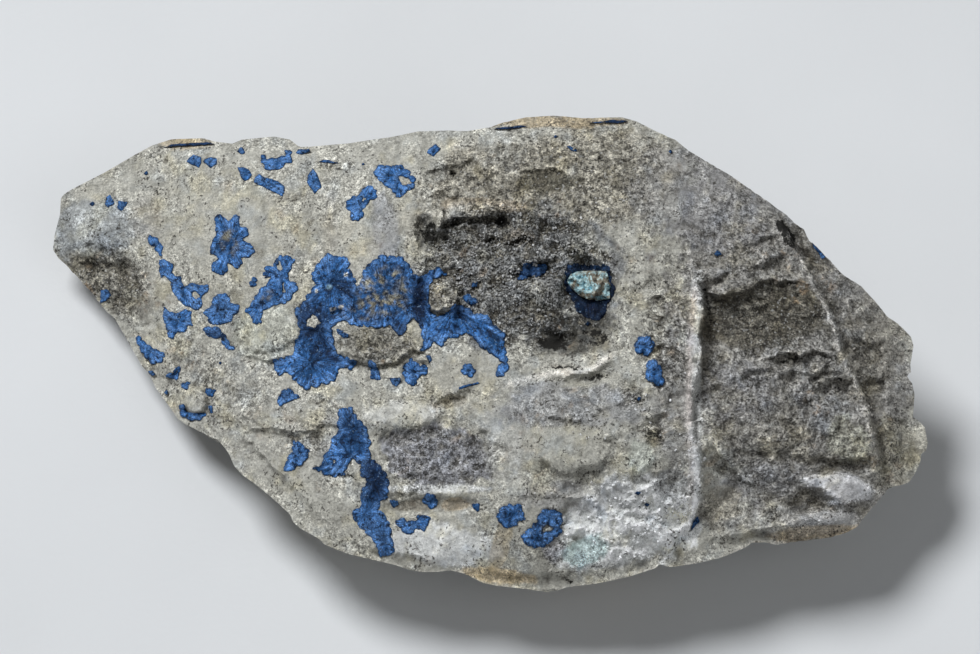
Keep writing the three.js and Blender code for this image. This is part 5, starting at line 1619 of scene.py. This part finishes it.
def blended(tree, share, first, second, way="MIX"):
    """Two colours mixed by a share from 0 to 1."""
    mix = node(tree, "ShaderNodeMix", {0: share, 6: first, 7: second}, data_type="RGBA", blend_type=way)
    return mix.outputs[2]


def new_material(name):
    """A material with its surface shader and output. Its tree, coordinates and shader are given back too."""
    material = bpy.data.materials.new(name)
    material.use_nodes = True
    tree = material.node_tree
    tree.nodes.clear()
    place = node(tree, "ShaderNodeTexCoord").outputs["Object"]
    shader = node(tree, "ShaderNodeBsdfPrincipled")
    node(tree, "ShaderNodeOutputMaterial", {"Surface": shader.outputs["BSDF"]})
    return material, tree, place, shader


def linked(tree, shader, **sockets):
    """Links values to the shader's sockets, named in lower case with underscores."""
    for name, value in sockets.items():
        tree.links.new(value, shader.inputs[name.replace("_", " ").title()])


def bumped(tree, height, distance, strength=1.0):
    """The surface's direction, bent as if it rose by the distance where the height goes from 0 to 1."""
    bump = node(tree, "ShaderNodeBump", {"Height": height, "Distance": distance, "Strength": strength})
    return bump.outputs["Normal"]


def hair_lines(tree, place, size):
    """Thin winding lines, 1 along their middles, where noise of the given size passes its middle value."""
    wave = worked_out(tree, "SUBTRACT", noise(tree, place, size, 5), 0.5)
    return stretched(tree, worked_out(tree, "ABSOLUTE", wave), 0.003, 0.012, 1.0, 0.0)


def bent_flakes(tree, place):
    """Small flakes with ragged edges, each of its own random shade."""
    bend = node(tree, "ShaderNodeTexNoise", {"Vector": place, "Scale": 1600, "Detail": 4}).outputs["Color"]
    bent = node(tree, "ShaderNodeVectorMath", {0: bend, 1: (0.0012, 0.0012, 0.0012), 2: place},
                operation="MULTIPLY_ADD").outputs[0]
    return cells(tree, bent, 0.0008, out="Color")


def stone_material():
    """Pale sugary rock: the stone's own tone, crumbs of many shades, dirt between them, pale glints, hair
    cracks, and near-black painted shadow where the stored painted shade is high.
    """
    material, tree, place, shader = new_material("matrix_stone")
    grime = painted(tree, "grime", "Fac")
    crumbs = noise(tree, place, 0.0013, 6, 0.72)
    flakes = bent_flakes(tree, place)
    grain = noise(tree, place, 0.0005, 4, 0.8)
    dust = noise(tree, place, 0.00024, 2, 0.8)
    patchy = stretched(tree, noise(tree, place, 0.004, 4, 0.6), 0.42, 0.58, 0.1, 0.6)
    patchy = times(tree, patchy, stretched(tree, grime, 0.01, 0.055, 0.15, 1.0))
    marked = largest(tree, patchy, grime)

    # Each pattern with the spread of it that counts, the dirt that it follows, and how dark and how light it
    # makes the rock: where that is clean, then where it is dirty.
    patterns = [
        (crumbs, (0.36, 0.64), grime, (0.94, 0.50), (1.06, 1.55)),
        (flakes, (0.25, 0.75), marked, (0.96, 0.72), (1.05, 1.3)),
        (grain, (0.38, 0.62), marked, (0.94, 0.35), (1.06, 1.75)),
        (dust, (0.36, 0.64), marked, (0.87, 0.25), (1.13, 1.85)),
    ]
    shade = 1.0
    for pattern, spread, dirt, darkest, lightest in patterns:
        own = stretched(tree, pattern, *spread, between(tree, dirt, *darkest), between(tree, dirt, *lightest))
        shade = times(tree, shade, own)
    colour = blended(tree, 1.0, painted(tree, "tone"), shade, "MULTIPLY")

    gaps = stretched(tree, noise(tree, place, 0.0010, 6, 0.75), 0.445, 0.415)
    speckle = noise(tree, place, 0.00036, 2)
    specks = stretched(tree, speckle, 0.365, 0.34)
    clusters = stretched(tree, noise(tree, place, 0.0028, 5, 0.7), 0.53, 0.56)
    pepper = times(tree, clusters, stretched(tree, speckle, 0.425, 0.40, 0.0, 0.85))
    dark = largest(tree, times(tree, gaps, between(tree, grime, 0.03, 0.95)),
                   times(tree, specks, between(tree, marked, 0.15, 0.8)))
    colour = blended(tree, largest(tree, dark, pepper), colour, (0.055, 0.05, 0.043, 1))

    glints = stretched(tree, noise(tree, place, 0.0004, 2), 0.63, 0.68)
    glints = times(tree, glints, between(tree, grime, 0.10, 0.65))
    colour = blended(tree, glints, colour, (0.80, 0.80, 0.77, 1))
    cracked = stretched(tree, noise(tree, place, 0.003, 2), 0.5, 0.66)
    cracks = times(tree, hair_lines(tree, place, 0.0024), cracked)
    colour = blended(tree, times(tree, cracks, 0.5), colour, (0.07, 0.06, 0.045, 1))
    # Painted shadow: near black where the stored painted shade is high, torn into scraps.
    tears = times(tree, noise(tree, place, 0.0009, 5, 0.8), 3.0)
    shadowed = stretched(tree, plus(tree, painted(tree, "shade_stain", "Fac"), tears), 2.10, 2.20, 0.0, 0.96)
    colour = blended(tree, shadowed, colour, (*SHADOW_BLACK, 1))

    height = plus(tree, plus(tree, crumbs, times(tree, flakes, 0.25)), times(tree, grain, 0.8))
    height = plus(tree, height, times(tree, plus(tree, gaps, cracks), -0.3))
    linked(tree, shader, base_color=colour, roughness=stretched(tree, grain, 0.3, 0.7, 0.95, 0.75),
           normal=bumped(tree, height, 0.0006, between(tree, grime, 0.5, 1.0)))
    shader.inputs["Specular IOR Level"].default_value = 0.25
    return material


def cornetite_material():
    """Velvety blue crust: its own tone, fibres that spread from each centre, navy gaps and pale glints."""
    material, tree, place, shader = new_material("cornetite")
    spokes = noise(tree, painted(tree, "fan", "Vector"), 1.0, 3)
    velvet = noise(tree, place, 0.0004, 4, 0.75)
    dust = noise(tree, place, 0.00022, 2, 0.7)
    shade = stretched(tree, spokes, 0.32, 0.68, 0.45, 1.6)
    shade = times(tree, shade, stretched(tree, velvet, 0.36, 0.64, 0.55, 1.45))
    shade = times(tree, shade, stretched(tree, dust, 0.36, 0.64, 0.6, 1.4))
    colour = blended(tree, 1.0, painted(tree, "tone"), shade, "MULTIPLY")
    gaps = stretched(tree, noise(tree, place, 0.0008, 5, 0.75), 0.44, 0.40, 0.0, 0.85)
    colour = blended(tree, gaps, colour, (0.004, 0.012, 0.035, 1))
    glints = stretched(tree, noise(tree, place, 0.0003, 2), 0.66, 0.7, 0.0, 0.5)
    colour = blended(tree, glints, colour, (0.32, 0.48, 0.68, 1))
    height = plus(tree, plus(tree, spokes, velvet), times(tree, dust, 0.4))
    roughness = stretched(tree, velvet, 0.3, 0.7, 0.6, 0.35)
    linked(tree, shader, base_color=colour, roughness=roughness, normal=bumped(tree, height, 0.00022))
    shader.inputs["Specular IOR Level"].default_value = 0.22
    return material


def turquoise_material():
    """A dark lump with a blue-green coat in patches, streaked white."""
    material, tree, place, shader = new_material("turquoise")
    coat = stretched(tree, noise(tree, place, 0.0012, 6, 0.7), 0.485, 0.53)
    tint = blended(tree, stretched(tree, noise(tree, place, 0.0006, 3), 0.38, 0.62),
                   (0.13, 0.37, 0.48, 1), (0.50, 0.66, 0.66, 1))
    rock = blended(tree, stretched(tree, noise(tree, place, 0.0006, 3), 0.35, 0.65),
                   (0.12, 0.105, 0.08, 1), (0.46, 0.42, 0.33, 1))
    grit = stretched(tree, noise(tree, place, 0.00024, 3, 0.8), 0.35, 0.65, 0.45, 1.5)
    colour = blended(tree, 1.0, blended(tree, coat, rock, tint), grit, "MULTIPLY")
    height = plus(tree, noise(tree, place, 0.0005, 3), times(tree, cells(tree, place, 0.0006), 0.5))
    roughness = stretched(tree, coat, 0, 1, 0.85, 0.5)
    linked(tree, shader, base_color=colour, roughness=roughness, normal=bumped(tree, height, 0.0002))
    return material


def grain_material(name, pale, share, roughness):
    """Grains in the tone of the stone they sit on, some of them paler."""
    material, tree, place, shader = new_material(name)
    own = noise(tree, place, 0.0007, 2)
    fine = noise(tree, place, 0.0002, 3)
    tinted = blended(tree, stretched(tree, own, 0.42, 0.68, 0.0, share), painted(tree, "tone"), (*pale, 1))
    shade = times(tree, stretched(tree, fine, 0.3, 0.7, 0.7, 1.3), stretched(tree, own, 0.3, 0.7, 0.75, 1.2))
    colour = blended(tree, 1.0, tinted, shade, "MULTIPLY")
    linked(tree, shader, base_color=colour, normal=bumped(tree, fine, 0.0001),
           roughness=stretched(tree, fine, 0.3, 0.7, roughness + 0.12, roughness - 0.12))
    shader.inputs["Specular IOR Level"].default_value = 0.4
    return material


def floor_material(colour):
    """A matt pale table top, very faintly mottled."""
    material, tree, place, shader = new_material("pale_table_top")
    mottle = stretched(tree, noise(tree, place, 0.05, 3), 0.3, 0.7, 0.97, 1.03)
    shaded = blended(tree, 1.0, (*colour, 1), mottle, "MULTIPLY")
    height = noise(tree, place, 0.0008, 2)
    linked(tree, shader, base_color=shaded, normal=bumped(tree, height, 0.00002))
    shader.inputs["Roughness"].default_value = 0.85
    return material


@functools.cache
def finish_of(name):
    """Each finish is made once and shared by its pieces."""
    made = {
        "stone": stone_material,
        "cornetite": cornetite_material,
        "turquoise": turquoise_material,
        "druse": lambda: grain_material("druse_grains", (0.56, 0.56, 0.56), 0.8, 0.5),
        "quartz": lambda: grain_material("quartz_grains", (0.95, 0.96, 0.97), 1.0, 0.45),
        "grit": lambda: grain_material("rock_grit", (0.48, 0.47, 0.43), 0.15, 0.8),
    }
    return made[name]()


# ---- geometry trees

FULL_TURN = 6.283


def geometry_tree(name, inputs):
    """A geometry tree with its named inputs, given as {name: (socket kind, default)}."""
    tree = bpy.data.node_groups.new(name, "GeometryNodeTree")
    tree.interface.new_socket("Geometry", in_out="INPUT", socket_type="NodeSocketGeometry")
    tree.interface.new_socket("Geometry", in_out="OUTPUT", socket_type="NodeSocketGeometry")
    for label, (kind, default) in inputs.items():
        socket = tree.interface.new_socket(label, in_out="INPUT", socket_type=kind)
        if default is not None:
            socket.default_value = default
    return tree, node(tree, "NodeGroupInput").outputs


def finished(tree, geometry, material):
    """Ends a tree: whatever was scattered becomes real geometry with the material on it."""
    real = node(tree, "GeometryNodeRealizeInstances", {"Geometry": geometry})
    dressed = node(tree, "GeometryNodeSetMaterial", {"Geometry": real.outputs[0], "Material": material})
    node(tree, "NodeGroupOutput", {"Geometry": dressed.outputs[0]})


def stored(tree, name):
    """A number stored at each point of the mesh, for a geometry tree."""
    read = node(tree, "GeometryNodeInputNamedAttribute", {"Name": name}, data_type="FLOAT")
    return read.outputs["Attribute"]


def scaled(tree, direction, length):
    """A direction made longer or shorter."""
    return node(tree, "ShaderNodeVectorMath", {0: direction, "Scale": length}, operation="SCALE").outputs[0]


def random_triple(tree, low, high, seed):
    """Three random numbers, each between its own low and high."""
    made = node(tree, "FunctionNodeRandomValue", {0: low, 1: high, "Seed": seed}, data_type="FLOAT_VECTOR")
    return made.outputs[0]


def random_number(tree, low, high, seed):
    """One random number between low and high."""
    made = node(tree, "FunctionNodeRandomValue", {2: low, 3: high, "Seed": seed}, data_type="FLOAT")
    return made.outputs[1]


@functools.cache
def grain_tree():
    """Roughens a surface with grain that only cuts inwards, most where its "grain" attribute is highest."""
    tree, given = geometry_tree("Stone grain", {
        "Grain Size": ("NodeSocketFloat", 0.0008),
        "Grain Depth": ("NodeSocketFloat", 0.00025),
        "Seed": ("NodeSocketInt", 1),
        "Finish": ("NodeSocketMaterial", None),
    })
    place = node(tree, "GeometryNodeInputPosition").outputs[0]
    shifted = node(tree, "ShaderNodeVectorMath", {0: place, 1: given["Seed"]}, operation="ADD").outputs[0]
    scale = worked_out(tree, "DIVIDE", 1.0, given["Grain Size"])
    bumps = node(tree, "ShaderNodeTexNoise", {"Vector": shifted, "Scale": scale, "Detail": 2.0})
    cut = stretched(tree, bumps.outputs["Fac"], 0.25, 0.75, -1.0, 0.0)
    depth = times(tree, times(tree, cut, stored(tree, "grain")), given["Grain Depth"])
    offset = scaled(tree, node(tree, "GeometryNodeInputNormal").outputs[0], depth)
    moved = node(tree, "GeometryNodeSetPosition", {"Geometry": given["Geometry"], "Offset": offset})
    finished(tree, moved.outputs[0], given["Finish"])
    return tree


@functools.cache
def scatter_tree():
    """Scatters small blocky grains over a surface, more where its "density" attribute is higher."""
    tree, given = geometry_tree("Scattered grains", {
        "Grains Per Square Metre": ("NodeSocketFloat", 1e6),
        "Smallest": ("NodeSocketFloat", 0.0002),
        "Largest": ("NodeSocketFloat", 0.0006),
        "Seed": ("NodeSocketInt", 1),
        "Finish": ("NodeSocketMaterial", None),
    })
    amount = times(tree, stored(tree, "density"), given["Grains Per Square Metre"])
    spread = node(tree, "GeometryNodeDistributePointsOnFaces",
                  {"Mesh": given["Geometry"], "Density": amount, "Seed": given["Seed"]})
    grain = node(tree, "GeometryNodeMeshCube", {"Size": (1, 1, 1)})
    angle = random_triple(tree, (0, 0, 0), (FULL_TURN, FULL_TURN, FULL_TURN), given["Seed"])
    size = random_number(tree, given["Smallest"], given["Largest"], given["Seed"])
    shape = random_triple(tree, (0.4, 0.35, 0.3), (1.5, 0.9, 0.8), given["Seed"])
    placed = node(tree, "GeometryNodeInstanceOnPoints",
                  {"Points": spread.outputs["Points"], "Instance": grain.outputs["Mesh"], "Rotation": angle,
                   "Scale": scaled(tree, shape, size)})
    finished(tree, placed.outputs[0], given["Finish"])
    return tree


def grown(thing, tree, name, **values):
    """A new plain mesh object: the thing with the tree's work on it, its inputs set by identifier."""
    modifier = thing.modifiers.new(tree.name, "NODES")
    modifier.node_group = tree
    identifiers = {item.name: item.identifier for item in tree.interface.items_tree if item.in_out == "INPUT"}
    for label, value in values.items():
        modifier[identifiers[label.replace("_", " ")]] = value
    graph = bpy.context.evaluated_depsgraph_get()
    mesh = bpy.data.meshes.new_from_object(thing.evaluated_get(graph), depsgraph=graph)
    mesh.name = name
    fresh = bpy.data.objects.new(name, mesh)
    bpy.context.scene.collection.objects.link(fresh)
    thing.modifiers.remove(modifier)
    bpy.data.objects.remove(thing)
    return fresh


# ---- what is scattered, and where: middle, half-sizes, turn and strength of each patch

SCATTERS = {
    "druse_grains": {
        "finish": "druse", "per_mm2": 6.0, "smallest": 0.1, "largest": 0.42, "seed": 5,
        "patches": [((3, 11.5), (13, 7), 0, 1.0), ((7, 6), (6, 4), 0, 1.0), ((14, 20), (6, 4), 0, 0.4)],
    },
    "quartz_grains": {
        "finish": "quartz", "per_mm2": 2.2, "smallest": 0.12, "largest": 0.42, "seed": 6,
        "patches": [((18.5, -21.5), (8, 5), 5, 1.0), ((24.8, -12), (1.6, 9), 0, 0.9),
                    ((12, -17), (7, 2), 0, 0.4), ((16, -8), (7, 5), 0, 0.5)],
    },
    "rock_grit": {
        "finish": "grit", "per_mm2": 2.5, "smallest": 0.1, "largest": 0.36, "seed": 7,
        "patches": [((38, -2), (13, 20), 15, 0.4), ((6, 22), (18, 6), 5, 0.6), ((-47, 9), (6, 4), -38, 0.6),
                    ((-6.5, -12.5), (7, 4), 0, 0.8), ((-14, 1), (5, 2.6), 0, 0.6)],
    },
}
SCATTER_CELL = 0.5


def scatter_bed(face, patches):
    """The patches of the face where grains lie, as an open sheet with a density at each point."""
    us = np.arange(-54, 54, SCATTER_CELL)
    vs = np.arange(-29, 29, SCATTER_CELL)
    grid_u, grid_v = np.meshgrid(us, vs)
    u, v = grid_u.ravel(), grid_v.ravel()
    flat = face_points(u, v)
    density = zoned(u, v, layered_noise(flat, 2.5, 3, 901), patches, 0.0, core=0.6, rim=1.2, wander=0.3)
    rim_u, rim_v = rim_at(np.arctan2(v / HALF_WIDTH, u / HALF_LENGTH))
    within = np.hypot(u, v) < 0.965 * np.hypot(rim_u, rim_v)
    relief, shade_stain, _, bed = face.relief(u, v)
    density *= within * (1 - bed) * ease(-0.35, 0.25, layered_noise(flat, 1.6, 2, 921))
    density *= 1 - 0.7 * np.clip(shade_stain, 0, 1)
    places = world_from_face(u, v, face.height(u, v, relief - 0.05)) * MM
    colours = stone_tone(u, v, np.zeros(len(u)), grime_at(u, v))
    # The grains take on the painted shadow of the stone beneath them.
    colours = mixed(colours, SHADOW_BLACK, 0.85 * np.clip(1.3 * shade_stain, 0, 1))
    quads = grid_faces(len(us) - 1, len(vs) - 1)
    wanted = [quad for quad in quads if max(density[list(quad)]) > 0.02]
    bed_object = new_object("grain_bed", places, wanted)
    bed_object.data.validate()
    store_number(bed_object.data, density, "density")
    store_tone(bed_object.data, colours)
    return bed_object


@functools.cache
def fine_face():
    """The fine face, made once and shared by all the pieces that lie on it."""
    return Face()


def dressed(thing, finish, slot):
    """Gives a finished piece its material and rides it on the specimen. Its slot is not used."""
    thing.data.materials.clear()
    thing.data.materials.append(finish_of(finish))
    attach(thing, "root")


# ---- what a user would change

class StoneSettings(bpy.types.PropertyGroup):
    grain_size: bpy.props.FloatProperty(
        name="Grain Size", description="Size of the stone's finest modelled grain", default=0.0008,
        min=0.0002, unit="LENGTH", precision=5)
    grain_depth: bpy.props.FloatProperty(
        name="Grain Depth", description="How deep the grain is cut", default=0.00028,
        min=0.0, unit="LENGTH", precision=5)


class CrustSettings(bpy.types.PropertyGroup):
    thickness: bpy.props.FloatProperty(
        name="Thickness", description="Thickness of a crust, as a share of its usual one", default=1.0,
        min=0.2, max=2.0, subtype="FACTOR")


class StageSettings(bpy.types.PropertyGroup):
    floor_colour: bpy.props.FloatVectorProperty(
        name="Floor Colour", description="Colour of the table top", default=(0.73, 0.74, 0.75),
        subtype="COLOR", size=3, min=0.0, max=1.0)
    light_power: bpy.props.FloatProperty(
        name="Light Power", description="Strength of the large soft light", default=19.2,
        min=0.0, unit="POWER")
    camera_distance: bpy.props.FloatProperty(
        name="Camera Distance", description="From the camera to the middle of the face", default=3.0,
        min=0.5, unit="LENGTH")


# ---- operators, one for each piece or group of like pieces

class SPECIMEN_OT_stone(bpy.types.Operator):
    """Builds the stone: fine relief on its face, broken sides and a level patch to rest on"""
    bl_idname = "specimen.stone"
    bl_label = "Stone"

    def execute(self, context):
        settings = context.scene.specimen_stone
        coarse = StoneBuilder(fine_face()).build()
        coarse.data.set_sharp_from_angle(angle=BREAK_ANGLE)
        stone = grown(coarse, grain_tree(), "stone", Grain_Size=settings.grain_size,
                      Grain_Depth=settings.grain_depth, Seed=3, Finish=finish_of("stone"))
        dressed(stone, "stone", "matrix")
        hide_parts("matrix_stone")
        return {"FINISHED"}


class SPECIMEN_OT_crusts(bpy.types.Operator):
    """Builds the cornetite crusts, rosettes and crystals, each in its own bed on the stone"""
    bl_idname = "specimen.crusts"
    bl_label = "Cornetite Crusts"

    def execute(self, context):
        share = context.scene.specimen_crusts.thickness
        face = fine_face()
        for name, segments in face.outlines.items():
            if name == "turquoise_knob":
                continue
            thick = share * CRUST_THICKNESSES.get(name, USUAL_CRUST_THICKNESS)
            crust = make_crust(face, name, segments, thick)
            dressed(crust, "cornetite", "cornetite")
            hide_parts(name)
        return {"FINISHED"}


class SPECIMEN_OT_flecks(bpy.types.Operator):
    """Builds the smallest blue flecks"""
    bl_idname = "specimen.flecks"
    bl_label = "Cornetite Flecks"

    def execute(self, context):
        for name, ring in FLECKS.items():
            fleck = make_crust(fine_face(), name, fine_outline(name, [ring]), FLECK_THICKNESS)
            dressed(fleck, "cornetite", "cornetite")
        return {"FINISHED"}


class SPECIMEN_OT_turquoise(bpy.types.Operator):
    """Builds the lump with a turquoise coat that sits in the pocket"""
    bl_idname = "specimen.turquoise"
    bl_label = "Turquoise Knob"

    def execute(self, context):
        face = fine_face()
        outline = face.outlines["turquoise_knob"]
        middle = outline.reshape(-1, 2).mean(axis=0)
        knob = make_crust(face, "turquoise_knob", middle + KNOB_SWELL * (outline - middle), 1.5)
        dressed(knob, "turquoise", "turquoise")
        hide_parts("turquoise_knob")
        return {"FINISHED"}


class SPECIMEN_OT_grains(bpy.types.Operator):
    """Scatters the sparkling druse, the quartz grains and the broken grit over their patches of the stone"""
    bl_idname = "specimen.grains"
    bl_label = "Scattered Grains"

    def execute(self, context):
        for name, scatter in SCATTERS.items():
            bed = scatter_bed(fine_face(), scatter["patches"])
            grains = grown(bed, scatter_tree(), name, Grains_Per_Square_Metre=scatter["per_mm2"] / MM ** 2,
                           Smallest=scatter["smallest"] * MM, Largest=scatter["largest"] * MM,
                           Seed=scatter["seed"], Finish=finish_of(scatter["finish"]))
            dressed(grains, scatter["finish"], "matrix")
        return {"FINISHED"}


class SPECIMEN_OT_stage(bpy.types.Operator):
    """Lays the table top, hangs the soft lights and sets the camera square to the face"""
    bl_idname = "specimen.stage"
    bl_label = "Stage"

    FACE_MIDDLE = (0, 3.375, 18)
    VIEW_WIDTH = 0.1225
    FLOOR_REACH = 2.0
    KEY_PLACE, KEY_SIZE = (-0.6, 0.55, 1.2), 0.6
    FILL_PLACE, FILL_SIZE, FILL_SHARE = (0.9, -0.9, 1.2), 1.8, 0.25
    LAMP_COLOUR = (0.98, 1.0, 1.02)
    ROOM_COLOUR, ROOM_STRENGTH = (0.94, 0.97, 1.0, 1), 0.122

    def execute(self, context):
        settings = context.scene.specimen_stage
        self.lay_floor(settings)
        power = settings.light_power
        self.hang_light("key_light", self.KEY_PLACE, self.KEY_SIZE, power)
        self.hang_light("fill_light", self.FILL_PLACE, self.FILL_SIZE, self.FILL_SHARE * power)
        self.light_the_room(context.scene)
        self.set_camera(context.scene, settings.camera_distance)
        context.scene.view_settings.view_transform = "Standard"
        return {"FINISHED"}

    def lay_floor(self, settings):
        corners = np.array([(-1, -1, 0), (1, -1, 0), (1, 1, 0), (-1, 1, 0)]) * self.FLOOR_REACH
        floor = new_object("floor", corners, [(0, 1, 2, 3)], smooth=False)
        floor.data.materials.append(floor_material(tuple(settings.floor_colour)))

    def hang_light(self, name, place, size, power):
        lamp = bpy.data.lights.new(name, "AREA")
        lamp.shape = "DISK"
        lamp.size = size
        lamp.energy = power
        lamp.color = self.LAMP_COLOUR
        light = bpy.data.objects.new(name, lamp)
        light.location = place
        light.rotation_mode = "QUATERNION"
        light.rotation_quaternion = (-Vector(place)).to_track_quat("-Z", "Y")
        bpy.context.scene.collection.objects.link(light)

    def light_the_room(self, scene):
        world = bpy.data.worlds.new("soft_room")
        world.use_nodes = True
        background = world.node_tree.nodes["Background"]
        background.inputs["Color"].default_value = self.ROOM_COLOUR
        background.inputs["Strength"].default_value = self.ROOM_STRENGTH
        scene.world = world

    def set_camera(self, scene, distance):
        u, v, height = (np.array([number], dtype=float) for number in self.FACE_MIDDLE)
        target = Vector(world_from_face(u, v, height)[0] * MM)
        back = Vector((0, -SIN_LEAN, COS_LEAN))
        lens = bpy.data.cameras.new("camera")
        lens.sensor_width = 36
        lens.lens = lens.sensor_width * distance / self.VIEW_WIDTH
        lens.clip_end = 20
        camera = bpy.data.objects.new("camera", lens)
        camera.location = target + back * distance
        camera.rotation_mode = "QUATERNION"
        camera.rotation_quaternion = (-back).to_track_quat("-Z", "Y")
        scene.collection.objects.link(camera)
        scene.camera = camera


OPERATORS = (SPECIMEN_OT_stone, SPECIMEN_OT_crusts, SPECIMEN_OT_flecks, SPECIMEN_OT_turquoise,
             SPECIMEN_OT_grains, SPECIMEN_OT_stage)


class SPECIMEN_PT_panel(bpy.types.Panel):
    """The specimen's pieces and its settings"""
    bl_label = "Cornetite Specimen"
    bl_idname = "SPECIMEN_PT_panel"
    bl_space_type = "VIEW_3D"
    bl_region_type = "UI"
    bl_category = "Specimen"

    def draw(self, context):
        column = self.layout.column()
        for operator in OPERATORS:
            column.operator(operator.bl_idname)
        scene = context.scene
        for group in (scene.specimen_stone, scene.specimen_crusts, scene.specimen_stage):
            for name in group.__annotations__:
                column.prop(group, name)


CLASSES = (StoneSettings, CrustSettings, StageSettings, *OPERATORS, SPECIMEN_PT_panel)


def register():
    for cls in CLASSES:
        bpy.utils.register_class(cls)
    bpy.types.Scene.specimen_stone = bpy.props.PointerProperty(type=StoneSettings)
    bpy.types.Scene.specimen_crusts = bpy.props.PointerProperty(type=CrustSettings)
    bpy.types.Scene.specimen_stage = bpy.props.PointerProperty(type=StageSettings)


def unregister():
    del bpy.types.Scene.specimen_stage
    del bpy.types.Scene.specimen_crusts
    del bpy.types.Scene.specimen_stone
    for cls in reversed(CLASSES):
        bpy.utils.unregister_class(cls)


def main():
    register()
    bpy.ops.specimen.stone()
    bpy.ops.specimen.crusts()
    bpy.ops.specimen.flecks()
    bpy.ops.specimen.turquoise()
    bpy.ops.specimen.grains()
    bpy.ops.specimen.stage()


if __name__ == "__main__":
    main()
